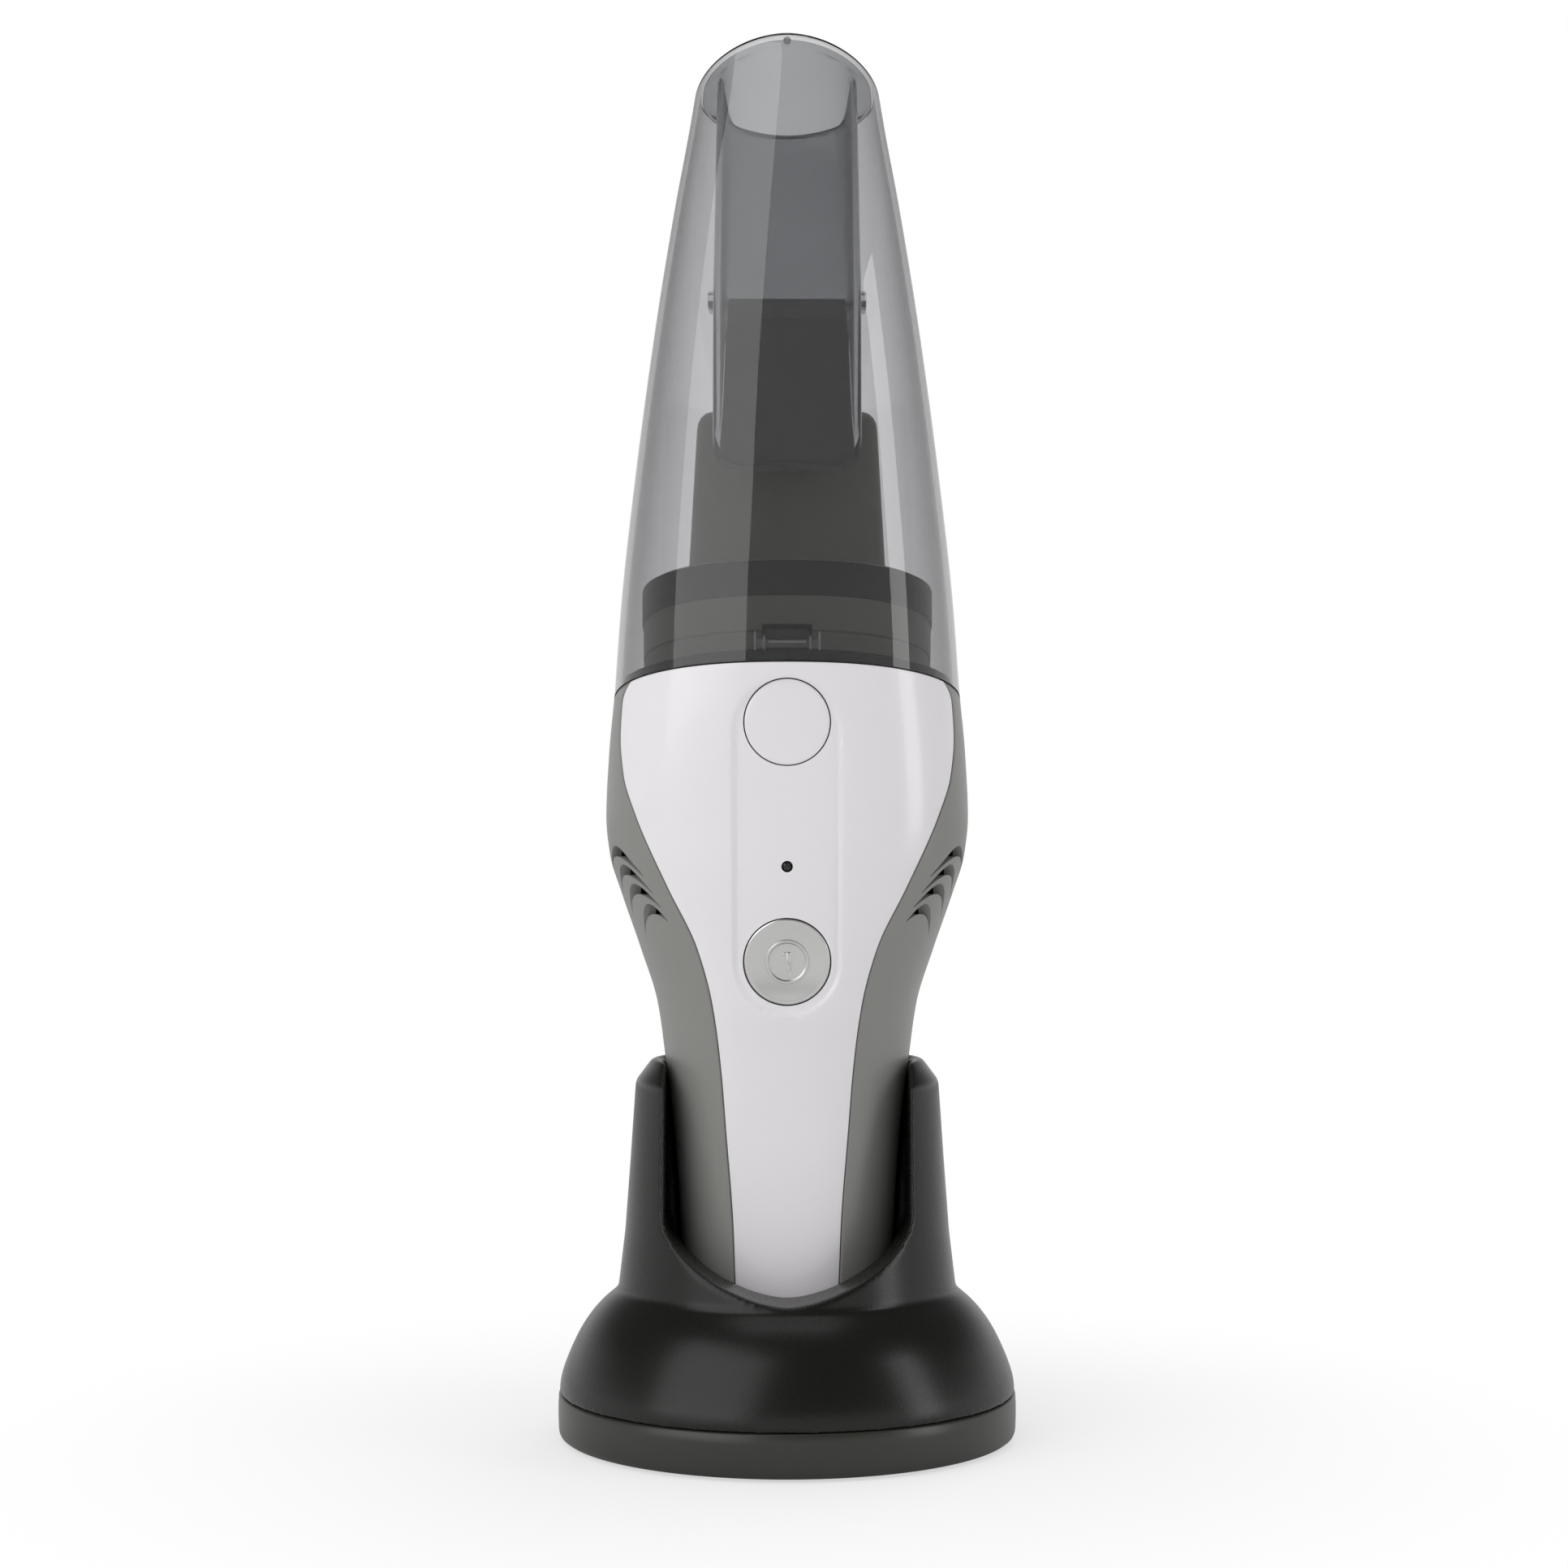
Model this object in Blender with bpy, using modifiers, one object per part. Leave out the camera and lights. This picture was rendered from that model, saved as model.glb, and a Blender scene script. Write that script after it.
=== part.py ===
"""Cordless handheld vacuum, nose up in its round charging stand.

Units are metres and +Z is up. The origin is on the floor at the middle of the stand, and the
buttons face -Y. The hand unit's casing and the clear dust cup are lofts through a few sections;
a section is a superellipse that may lie in a plane slanted from front to back.
"""
from collections import namedtuple
from math import cos, pi, radians, sin

import bmesh
import bpy
import numpy as np
from mathutils import Matrix, Vector

MM = 0.001
OBJECT_NAME = "handheld_vacuum"

# Clearances and walls
GAP = 0.3 * MM
CASING_WALL = 2.2 * MM
CUP_WALL = 1.8 * MM
COLUMNS = 32
STAND_STEPS = 40
CASING_POWER = 2.3

# Overall lengths, one above the other on the axis
HANDLE_BOTTOM = 20.0 * MM
GRIP_LENGTH = 106.6 * MM          # from the handle's end to the shoulder
HEAD_LENGTH = 87.0 * MM           # from the shoulder to the joint with the dust cup
CUP_LENGTH = 183.4 * MM           # from the joint to the mouth
SHOULDER = HANDLE_BOTTOM + GRIP_LENGTH
JOINT_HEIGHT = SHOULDER + HEAD_LENGTH
CUP_TOP = JOINT_HEIGHT + CUP_LENGTH

# The joint's outline, which casing and cup share
JOINT_SLOPE = 0.2017
JOINT_HALF_WIDTH = 50.4 * MM
JOINT_FRONT = 47.6 * MM
JOINT_BACK = 46.0 * MM
SLANT_START = SHOULDER + 23.4 * MM
HANDLE_ROUNDING = 5.0 * MM

# Casing sections, as a share of the grip's or the head's length: half width, front and back depths
GRIP_SECTIONS = (
    (0.0469, 30.0 * MM, 27.0 * MM, 20.0 * MM),
    (0.3752, 31.0 * MM, 28.0 * MM, 19.8 * MM),
    (0.6567, 33.0 * MM, 30.4 * MM, 19.7 * MM),
    (0.8630, 35.7 * MM, 34.0 * MM, 19.9 * MM),
)
HEAD_SECTIONS = (
    (0.0, 37.8 * MM, 37.6 * MM, 23.5 * MM),
    (0.1770, 42.6 * MM, 40.3 * MM, 31.0 * MM),
    (0.3690, 48.4 * MM, 43.0 * MM, 38.5 * MM),
    (0.4874, 51.6 * MM, 44.3 * MM, 41.5 * MM),
    (0.6138, 52.75 * MM, 45.2 * MM, 43.8 * MM),
    (0.8207, 51.9 * MM, 46.6 * MM, 45.4 * MM),
    (1.0, JOINT_HALF_WIDTH, JOINT_FRONT, JOINT_BACK),
)
GRIP_LEVELS = (0.0469, 0.2345, 0.4690, 0.7000, 0.8255, 0.9381)
HEAD_LEVELS = (0.0391, 0.1540, 0.2690, 0.3609, 0.4529, 0.5563, 0.6828, 0.8437)

# Dust cup sections, as a share of its length: half width, front, middle and back (all y), slope, power
CUP_STATIONS = (
    (0.0, JOINT_HALF_WIDTH, -JOINT_FRONT, 0.0 * MM, JOINT_BACK, JOINT_SLOPE, 2.3),
    (0.1549, 48.4 * MM, -43.5 * MM, 1.0 * MM, 43.5 * MM, 0.225, 2.3),
    (0.3435, 44.7 * MM, -37.7 * MM, 2.0 * MM, 39.0 * MM, 0.26, 2.28),
    (0.5911, 38.9 * MM, -29.7 * MM, 4.0 * MM, 33.0 * MM, 0.36, 2.2),
    (0.7983, 33.2 * MM, -22.2 * MM, 6.0 * MM, 27.5 * MM, 0.50, 2.05),
    (0.9291, 29.2 * MM, -17.0 * MM, 7.4 * MM, 23.8 * MM, 0.61, 1.9),
    (1.0, 27.2 * MM, -14.0 * MM, 8.0 * MM, 22.0 * MM, 0.669, 1.85),
)

# Top cover outline seen from the front, as a share of the grip's or the head's length: half width
COVER_GRIP = (
    (0.0375, 14.0 * MM),
    (0.2627, 14.9 * MM),
    (0.4315, 15.6 * MM),
    (0.6660, 17.5 * MM),
    (0.8349, 18.9 * MM),
)
COVER_HEAD = (
    (0.0046, 21.2 * MM),
    (0.1943, 25.6 * MM),
    (0.3897, 33.9 * MM),
    (0.6218, 43.1 * MM),
    (0.7517, 46.7 * MM),
    (0.8713, 47.7 * MM),
    (0.9931, 47.1 * MM),
    (1.0563, 44.6 * MM),
)
COVER_REACH = -10.0 * MM          # the cover lies in front of this y
COVER_ROUNDING = 3.0 * MM
COVER_STEP_IN = 2.5 * MM          # the outline's corner above the joint
COVER_STEP_UP = 1.2 * MM
CHANNEL_DEPTH = 0.6 * MM
CHANNEL_HALF_WIDTH = 15.5 * MM

# Buttons, light and latch
RELEASE_HEIGHT = JOINT_HEIGHT - 7.2 * MM
RELEASE_RADIUS = 11.9 * MM
RELEASE_BACK = -39.0 * MM
RELEASE_TRAVEL = 3.0 * MM
POWER_HEIGHT = JOINT_HEIGHT - 74.0 * MM
POWER_RADIUS = 12.1 * MM
POWER_BACK = -32.0 * MM
POWER_TRAVEL = 1.5 * MM
LIGHT_HEIGHT = JOINT_HEIGHT - 47.3 * MM
LIGHT_RADIUS = 1.2 * MM
LIGHT_DEPTH = 6.0 * MM
LATCH_HALF_WIDTH = 6.0 * MM
LATCH_THICKNESS = 2.0 * MM
LATCH_BOTTOM = RELEASE_HEIGHT - 10.4 * MM
LATCH_TOP = JOINT_HEIGHT + 18.4 * MM
LATCH_HOOK_HEIGHT = 2.5 * MM
LATCH_HOOK_REACH = 3.9 * MM
LEDGE_HALF_WIDTH = 8.7 * MM
LEDGE_HEIGHT = 2.2 * MM

# Vents: nose-side arcs as front end, peak and rear end, each (y, depth below the joint)
VENT_ARCS = (
    ((-28.5, 50.0), (-17.5, 41.6), (-7.0, 49.6)),
    ((-29.5, 54.6), (-20.4, 46.9), (-12.0, 55.6)),
    ((-30.5, 58.6), (-22.6, 52.4), (-15.0, 61.6)),
    ((-31.0, 62.6), (-26.0, 58.2), (-20.0, 66.6)),
)
VENT_REACH = (24.0 * MM, 62.0 * MM)
VENT_WIDTH = 2.8 * MM
VENT_END_WIDTH = 0.8 * MM
VENT_POINTS = 7

# Housing screws, across the casing
SCREW_RADIUS = 1.2 * MM
SCREW_HEAD_RADIUS = 2.5 * MM
SCREW_HEAD_LENGTH = 1.8 * MM
SCREW_REACH = 9.0 * MM
BOSS_RADIUS = 3.4 * MM

# Bulkhead between cup and fan, and its seal
BULKHEAD_FLOOR = 3.0 * MM
BULKHEAD_BOTTOM = JOINT_HEIGHT - 6.6 * MM
COLLAR_TOP = JOINT_HEIGHT + 3.8 * MM
COLLAR_WALL = 2.0 * MM
SEAL_THICKNESS = 1.2 * MM
SEAL_LOW = JOINT_HEIGHT + 1.0 * MM
SEAL_HIGH = SEAL_LOW + 2.0 * MM
GRILLE_HOLE = 4.6 * MM
GRILLE_CIRCLE = 12.0 * MM

# Fan and motor
SHROUD_RADIUS = 31.5 * MM
SHROUD_WALL = 1.8 * MM
SHROUD_TOP = JOINT_HEIGHT - 14.3 * MM
SHROUD_INLET = 13.0 * MM
MOUNT_BOTTOM = JOINT_HEIGHT - 32.1 * MM
MOUNT_THICKNESS = 2.2 * MM
MOTOR_RADIUS = 17.5 * MM
MOTOR_LENGTH = 33.0 * MM
SHAFT_RADIUS = 1.6 * MM
BEARING_RADIUS = 5.5 * MM
IMPELLER_RADIUS = 28.0 * MM
IMPELLER_BOTTOM = MOUNT_BOTTOM + 4.7 * MM
IMPELLER_DISC = 1.5 * MM
HUB_RADIUS = 6.0 * MM
BLADE_COUNT = 7
BLADE_HEIGHT = 7.5 * MM
BLADE_THICKNESS = 1.2 * MM
BLADE_SWEEP = radians(55)
OUTLET_CIRCLE = 23.5 * MM
OUTLET_HOLE = 4.5 * MM

# Battery and board
CELL_RADIUS = 9.1 * MM
CELL_LENGTH = 65.0 * MM
CELL_CLEARANCE = 0.4 * MM
CELL_SPACING = CELL_RADIUS + CELL_CLEARANCE
BATTERY_Y = -3.2 * MM
HOLDER_PLATE = 1.5 * MM
HOLDER_BOTTOM = HANDLE_BOTTOM + CASING_WALL + 1.1 * MM
HOLDER_POST = 3.0 * MM
CELL_LOW = HOLDER_BOTTOM + HOLDER_PLATE + GAP
HOLDER_UPPER = CELL_LOW + CELL_LENGTH + GAP
BOARD_CLEARANCE = 3.3 * MM        # from the casing's inner face at the board's foot
BOARD_THICKNESS = 1.6 * MM
BOARD_HALF_WIDTH = 13.0 * MM
BOARD_TOP = JOINT_HEIGHT - 63.6 * MM
SWITCH_HALF = 3.2 * MM
CONTACT_X = 8.0 * MM
CONTACT_RADIUS = 2.2 * MM
CONTACT_LENGTH = 3.0 * MM
SCREW_PLACES = (                  # (y, z) of each housing screw
    (36.4 * MM, JOINT_HEIGHT - 20.6 * MM),
    (32.0 * MM, JOINT_HEIGHT - 43.6 * MM),
    (21.0 * MM, JOINT_HEIGHT - 74.6 * MM),
    (8.0 * MM, HOLDER_UPPER + HOLDER_PLATE + 13.1 * MM),
)

# Inlet duct: depth below the mouth, half width, front, back, slope, power
DUCT_WALL = 1.6 * MM
LIP_SETBACK = 1.8 * MM
DUCT_STATIONS = (
    (72.6 * MM, 21.2 * MM, -25.5 * MM, 2.5 * MM, -1.81, 7.0),
    (64.0 * MM, 21.2 * MM, -20.5 * MM, 4.5 * MM, -0.60, 6.0),
    (51.0 * MM, 21.0 * MM, -17.0 * MM, 8.5 * MM, 0.0, 4.2),
    (25.0 * MM, 20.6 * MM, -13.6 * MM, 14.0 * MM, 0.42, 3.0),
    (LIP_SETBACK, 20.0 * MM, -10.0 * MM, 18.3 * MM, 0.669, 2.4),
)
FLAP_THICKNESS = 1.2 * MM
FLAP_HALF_WIDTH = 19.3 * MM
FLAP_LENGTH = 58.0 * MM
FLAP_CORNER = 6.0 * MM
HINGE_PIN_RADIUS = 0.8 * MM
HINGE_BARREL_RADIUS = 1.5 * MM
HINGE_OFFSET = 1.4 * MM           # axis beyond the duct's end, square to it
HINGE_BEYOND = 3.2 * MM           # axis beyond the duct's back edge, along its end

# Filter
FLANGE_HALF_WIDTH = 42.0 * MM
FLANGE_DEPTH = 37.6 * MM
FLANGE_Y = 0.5 * MM
GASKET_HEIGHT = 1.2 * MM
GASKET_WIDTH = 4.0 * MM
FLANGE_LOW = COLLAR_TOP + 3 * GAP + GASKET_HEIGHT
FLANGE_HIGH = FLANGE_LOW + 25.0 * MM
FILTER_WALL = 1.6 * MM
FILTER_Y = 14.0 * MM
FILTER_HALF_DEPTH = 16.0 * MM
FILTER_LOW_HALF_WIDTH = 29.7 * MM
FILTER_TOP_HALF_WIDTH = 27.0 * MM
FILTER_TOP = FLANGE_HIGH + 53.5 * MM
FILTER_SHOULDER = 6.0 * MM
FILTER_TILT = -0.25
ELEMENT_CLEARANCE = 0.5 * MM

# Stand
STAND_RADIUS = 66.7 * MM
BASE_BOTTOM = 0.8 * MM
BAND_TOP = 13.3 * MM
BASE_FLOOR = 2.4 * MM
STAND_WALL = 2.4 * MM
RING_WIDTH = 7.4 * MM
RING_OUTER = STAND_RADIUS - 7.0 * MM
RING_INNER = RING_OUTER - RING_WIDTH
RING_SINK = 1.3 * MM
DOME_SHARES = (                   # outwards from the cradle's foot, and up from the band
    (0.0287, 0.9801), (0.2471, 0.8738), (0.4425, 0.7508), (0.6264, 0.5947),
    (0.7759, 0.4219), (0.8793, 0.2757), (0.9540, 0.1362),
)
CRADLE_FOOT_RADIUS = 49.3 * MM
CRADLE_TOP_RADIUS = 44.2 * MM
CRADLE_FOOT_HEIGHT = 43.4 * MM
CRADLE_SHOULDER_HEIGHT = 103.6 * MM
CRADLE_TOP = 110.0 * MM
CRADLE_TOP_FLAT = 39.4 * MM
SOCKET_CLEARANCE = 1.0 * MM
POCKET_TOP = CRADLE_SHOULDER_HEIGHT - 5.0 * MM
SCOOP_HALF_WIDTH = 34.8 * MM
SCOOP_HEIGHT = 66.0 * MM
SCOOP_DEPTH = 21.5 * MM
SCOOP_POWER = 1.6
SCOOP_REACH = -6.0 * MM
STAND_SCREW_CIRCLE = CRADLE_FOOT_RADIUS - 2.3 * MM
STAND_SCREW_RADIUS = 1.3 * MM
STAND_SCREW_HEAD = 3.0 * MM
STAND_SCREW_TOP = 11.5 * MM
STAND_BOSS_RADIUS = 3.5 * MM
STAND_BOSS_TOP = CRADLE_FOOT_HEIGHT - 1.8 * MM
JACK_HALF_WIDTH = 5.0 * MM
JACK_LENGTH = 13.2 * MM
JACK_BACK = STAND_RADIUS - 0.5 * MM
JACK_FRONT = JACK_BACK - JACK_LENGTH
JACK_TOP = BAND_TOP - 0.5 * MM
JACK_BORE = 3.2 * MM
JACK_BORE_DEPTH = 9.0 * MM
BLOCK_HALF_X = 12.0 * MM
BLOCK_HALF_Y = 5.0 * MM
BLOCK_FLANGE = 3.0 * MM
BLOCK_BOTTOM = 11.0 * MM
PIN_RADIUS = 1.2 * MM
PIN_BOTTOM = 9.6 * MM

# How far the cutters reach beyond every piece
CUT_FRONT = -90.0 * MM
CUT_FAR = 300.0 * MM
CUT_BEYOND = 5.0 * MM
CASING_CLEAR = 20.0 * MM

Ring = namedtuple("Ring", "height half_width front middle back slope power")

# Colour, roughness, metallic, transmission
FINISHES = {
    "white_gloss": ((0.80, 0.78, 0.81), 0.22, 0.0, 0.0),
    "grey_satin": ((0.21, 0.21, 0.20), 0.42, 0.0, 0.0),
    "black_satin": ((0.012, 0.012, 0.011), 0.32, 0.0, 0.0),
    "smoky_clear": ((0.42, 0.43, 0.44), 0.05, 0.0, 0.9),
    "black_rubber": ((0.012, 0.012, 0.013), 0.75, 0.0, 0.0),
    "silver_paint": ((0.55, 0.55, 0.54), 0.30, 0.8, 0.0),
    "olive_plastic": ((0.11, 0.11, 0.095), 0.50, 0.0, 0.0),
    "filter_cloth": ((0.45, 0.44, 0.40), 0.90, 0.0, 0.0),
    "bright_steel": ((0.62, 0.62, 0.62), 0.28, 1.0, 0.0),
    "brass": ((0.75, 0.58, 0.26), 0.30, 1.0, 0.0),
    "green_board": ((0.02, 0.16, 0.07), 0.45, 0.0, 0.0),
    "cell_sleeve": ((0.05, 0.20, 0.45), 0.40, 0.0, 0.0),
}


# ---------------------------------------------------------------- scene and materials

def clear_scene():
    """Remove every object already in the file."""
    for item in list(bpy.data.objects):
        bpy.data.objects.remove(item, do_unlink=True)


def make_collection(name):
    """A new collection in the scene."""
    collection = bpy.data.collections.new(name)
    bpy.context.scene.collection.children.link(collection)
    return collection


def make_material(node_name, finish):
    """A Principled material of the node's own."""
    colour, roughness, metallic, transmission = FINISHES[finish]
    material = bpy.data.materials.new(node_name + "_" + finish)
    material.use_nodes = True
    shader = material.node_tree.nodes["Principled BSDF"]
    shader.inputs["Base Color"].default_value = (*colour, 1.0)
    shader.inputs["Roughness"].default_value = roughness
    shader.inputs["Metallic"].default_value = metallic
    shader.inputs["Transmission Weight"].default_value = transmission
    return material


def add_object(name, mesh, finish=None, at=None):
    """An object in the parts collection, or a hidden cutter when it has no finish."""
    item = bpy.data.objects.new(name, mesh)
    if finish:
        PARTS.objects.link(item)
        mesh.materials.append(make_material(name, finish))
    else:
        CUTTERS.objects.link(item)
        item.hide_render = True
        item.display_type = "WIRE"
    if at is not None:
        item.location = at
    return item


def add_joint_empty(name, at, parent=None):
    """An empty on a joint's axis, which the moving pieces hang from."""
    empty = bpy.data.objects.new(name, None)
    empty.empty_display_size = 10 * MM
    CUTTERS.objects.link(empty)
    empty.location = at
    if parent:
        attach(empty, parent)
    return empty


def attach(item, parent):
    """Parent an object and leave it where it stands."""
    bpy.context.view_layer.update()
    item.parent = parent
    item.matrix_parent_inverse = parent.matrix_world.inverted()


def finish_mesh(name, shape, smooth=True):
    """Turn a bmesh into a mesh, with sharp edges kept where faces meet steeply."""
    mesh = bpy.data.meshes.new(name)
    shape.to_mesh(mesh)
    shape.free()
    if smooth:
        mesh.shade_smooth()
        mesh.set_sharp_from_angle(angle=radians(35))
    return mesh


# ---------------------------------------------------------------- shapes

def monotone(places, values, at):
    """A smooth curve through the given values that never overshoots them."""
    steps = np.diff(places)
    rises = np.diff(values) / steps
    slopes = np.zeros(len(places))
    slopes[0], slopes[-1] = rises[0], rises[-1]
    for i in range(1, len(places) - 1):
        if rises[i - 1] * rises[i] > 0:
            slopes[i] = 2 * rises[i - 1] * rises[i] / (rises[i - 1] + rises[i])
    i = int(np.clip(np.searchsorted(places, at) - 1, 0, len(steps) - 1))
    t = (at - places[i]) / steps[i]
    return float((1 + 2 * t) * (1 - t) ** 2 * values[i] + t * (1 - t) ** 2 * steps[i] * slopes[i]
                 + t * t * (3 - 2 * t) * values[i + 1] + t * t * (t - 1) * steps[i] * slopes[i + 1])


def placed(grip, head):
    """Section tables as one, with the share of a length in the first column made a height."""
    return (tuple((HANDLE_BOTTOM + GRIP_LENGTH * row[0], *row[1:]) for row in grip)
            + tuple((SHOULDER + HEAD_LENGTH * row[0], *row[1:]) for row in head))


def column(stations, index, at):
    """One column of a station table, read at a height."""
    table = np.array(stations)
    return monotone(table[:, 0], table[:, index], at)


def signed_power(value, power):
    """A power that keeps the sign."""
    return abs(value) ** power * (1 if value >= 0 else -1)


def ring_points(ring, inset=0.0, count=COLUMNS):
    """Points of a section, from the front through +X, moved inwards by inset."""
    front, back = ring.front + inset, ring.back - inset
    points = []
    for i in range(count):
        turn = 2 * pi * i / count
        across = signed_power(sin(turn), 2 / ring.power)
        along = signed_power(cos(turn), 2 / ring.power)
        depth = ring.middle - front if along > 0 else back - ring.middle
        y = ring.middle - depth * along
        points.append(Vector(((ring.half_width - inset) * across, y, ring.height - ring.slope * y)))
    return points


CASING_STATIONS = placed(GRIP_SECTIONS, HEAD_SECTIONS)
COVER_STATIONS = placed(COVER_GRIP, COVER_HEAD)


def joint_slope(height):
    """Slant of the casing's sections: level in the grip, parallel to the joint at the top."""
    t = min(max((height - SLANT_START) / (JOINT_HEIGHT - SLANT_START), 0.0), 1.0)
    return JOINT_SLOPE * t * t * (3 - 2 * t)


def casing_ring(height, level=False):
    """The casing's section at a height."""
    return Ring(height, column(CASING_STATIONS, 1, height), -column(CASING_STATIONS, 2, height), 0.0,
                column(CASING_STATIONS, 3, height), 0.0 if level else joint_slope(height), CASING_POWER)


def cup_ring(height):
    """The dust cup's section at a height."""
    share = (height - JOINT_HEIGHT) / CUP_LENGTH
    half_width, front, middle, back, slope, power = (column(CUP_STATIONS, i, share) for i in range(1, 7))
    return Ring(height, half_width, front, middle, back, slope, power)


def loft(name, rows, close_bottom=True, close_top=True, round_trip=False):
    """Faces between rows of points, each row level or slanted, from the lowest up."""
    shape = bmesh.new()
    rows = [[shape.verts.new(point) for point in row] for row in rows]
    count = len(rows[0])
    pairs = list(zip(rows, rows[1:]))
    if round_trip:
        pairs.append((rows[-1], rows[0]))
    for low, high in pairs:
        for i in range(count):
            j = (i + 1) % count
            shape.faces.new((low[i], low[j], high[j], high[i]))
    if close_bottom and not round_trip:
        shape.faces.new(list(reversed(rows[0])))
    if close_top and not round_trip:
        shape.faces.new(rows[-1])
    if round_trip:
        bmesh.ops.recalc_face_normals(shape, faces=shape.faces[:])
    return finish_mesh(name, shape)


def casing_rows(top, grow=0.0):
    """Rows of the casing from the rounded end of the handle up to a height, grown outwards."""
    heights = [HANDLE_BOTTOM + GRIP_LENGTH * share for share in GRIP_LEVELS]
    heights += [SHOULDER + HEAD_LENGTH * share for share in HEAD_LEVELS]
    heights = [height for height in heights if height < top - 4 * MM] + [top]
    rows = []
    for turn in (0.0, 30.0, 60.0):
        inset = HANDLE_ROUNDING * (1 - sin(radians(turn))) * 0.8 - grow
        ring = casing_ring(heights[0])
        lift = HANDLE_ROUNDING * (1 - cos(radians(turn)))
        rows.append(ring_points(ring._replace(height=HANDLE_BOTTOM - grow + lift), inset))
    rows += [ring_points(casing_ring(height), -grow) for height in heights]
    return rows


def cup_rows(low, high, inset=0.0, levels=9):
    """Rows of the dust cup between two heights."""
    return [ring_points(cup_ring(low + (high - low) * i / (levels - 1)), inset) for i in range(levels)]


def band(name, ring, low, high, outer_inset, inner_inset):
    """A closed ring with a square section that follows one outline."""
    rows = [ring_points(ring._replace(height=height), inset)
            for height, inset in ((low, outer_inset), (high, outer_inset), (high, inner_inset), (low, inner_inset))]
    return loft(name, rows, round_trip=True)


def slab(name, ring, low, high, inset):
    """A closed slab with one outline."""
    return loft(name, [ring_points(ring._replace(height=height), inset) for height in (low, high)])


def box(name, low, high):
    """A box between two corners."""
    shape = bmesh.new()
    bmesh.ops.create_cube(shape, size=1.0)
    size = [b - a for a, b in zip(low, high)]
    middle = [(a + b) / 2 for a, b in zip(low, high)]
    bmesh.ops.scale(shape, vec=size, verts=shape.verts)
    bmesh.ops.translate(shape, vec=middle, verts=shape.verts)
    return finish_mesh(name, shape, smooth=False)


def cylinder(name, radius, low, high, steps=32, turn=None, bevel=0.0):
    """A cylinder along Z between two heights, which may then be turned."""
    shape = bmesh.new()
    bmesh.ops.create_cone(shape, cap_ends=True, segments=steps, radius1=radius, radius2=radius, depth=high - low)
    bmesh.ops.translate(shape, vec=(0, 0, (low + high) / 2), verts=shape.verts)
    if bevel:
        rims = [edge for edge in shape.edges if len(edge.link_faces) == 2
                and any(len(face.verts) > 4 for face in edge.link_faces)]
        bmesh.ops.bevel(shape, geom=rims, offset=bevel, segments=1, profile=0.5, affect="EDGES", material=-1)
    if turn is not None:
        bmesh.ops.transform(shape, matrix=turn, verts=shape.verts)
    return finish_mesh(name, shape)


ALONG_Y = Matrix.Rotation(-pi / 2, 4, "X")      # +Z becomes +Y
ALONG_X = Matrix.Rotation(pi / 2, 4, "Y")       # +Z becomes +X


def prism(name, outline, low, high, axis):
    """A closed outline pushed along X or Y; the outline's points are (across, z)."""
    shape = bmesh.new()
    if axis == "Y":
        corners = [shape.verts.new((u, low, v)) for u, v in outline]
        push = (0, high - low, 0)
    else:
        corners = [shape.verts.new((low, u, v)) for u, v in outline]
        push = (high - low, 0, 0)
    face = shape.faces.new(corners)
    moved = bmesh.ops.extrude_face_region(shape, geom=[face])
    bmesh.ops.translate(shape, vec=push, verts=[item for item in moved["geom"]
                                                if isinstance(item, bmesh.types.BMVert)])
    bmesh.ops.recalc_face_normals(shape, faces=shape.faces[:])
    return finish_mesh(name, shape)


def turned(item_name, profile, finish=None, steps=48, closed=False):
    """A profile of (radius, height) turned about Z; it runs down its outer side."""
    mesh = bpy.data.meshes.new(item_name)
    edges = [(i, i + 1) for i in range(len(profile) - 1)]
    if closed:
        edges.append((len(profile) - 1, 0))
    mesh.from_pydata([(radius, 0.0, height) for radius, height in profile], edges, [])
    item = add_object(item_name, mesh, finish)
    screw = item.modifiers.new("turn", "SCREW")
    screw.axis = "Z"
    screw.angle = 2 * pi
    screw.steps = screw.render_steps = steps
    screw.use_merge_vertices = True
    screw.merge_threshold = 0.01 * MM
    screw.use_smooth_shade = True
    return item


def combine(item, operand, operation):
    """A Boolean on an object with another object."""
    cut = item.modifiers.new(operation.lower() + "_" + operand.name, "BOOLEAN")
    cut.operation = operation
    cut.solver = "EXACT"
    cut.object = operand
    return item


def cut_by(item, *cutters):
    """Take each cutter's shape away."""
    for cutter in cutters:
        combine(item, cutter, "DIFFERENCE")
    return item


def joined_with(item, *pieces):
    """Grow an object by other shapes."""
    for piece in pieces:
        combine(item, piece, "UNION")
    return item


def solidify(item, thickness, inwards=True):
    """Give an open surface its wall."""
    wall = item.modifiers.new("wall", "SOLIDIFY")
    wall.thickness = thickness
    wall.offset = -1.0 if inwards else 1.0
    wall.use_even_offset = True
    return item


def casing_surface_x(y, height):
    """How far out the casing's side lies at a point (y, height)."""
    section_height = height
    for _ in range(4):
        section_height = height + joint_slope(section_height) * y
    ring = casing_ring(section_height)
    depth = -ring.front if y < 0 else ring.back
    return ring.half_width * (1 - (abs(y) / depth) ** ring.power) ** (1 / ring.power)


def screw_seat(y, height):
    """How far out a housing screw's head sits: inside the wall all round its boss."""
    return casing_surface_x(y + BOSS_RADIUS, height) - CASING_WALL


# ---------------------------------------------------------------- casing

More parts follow.
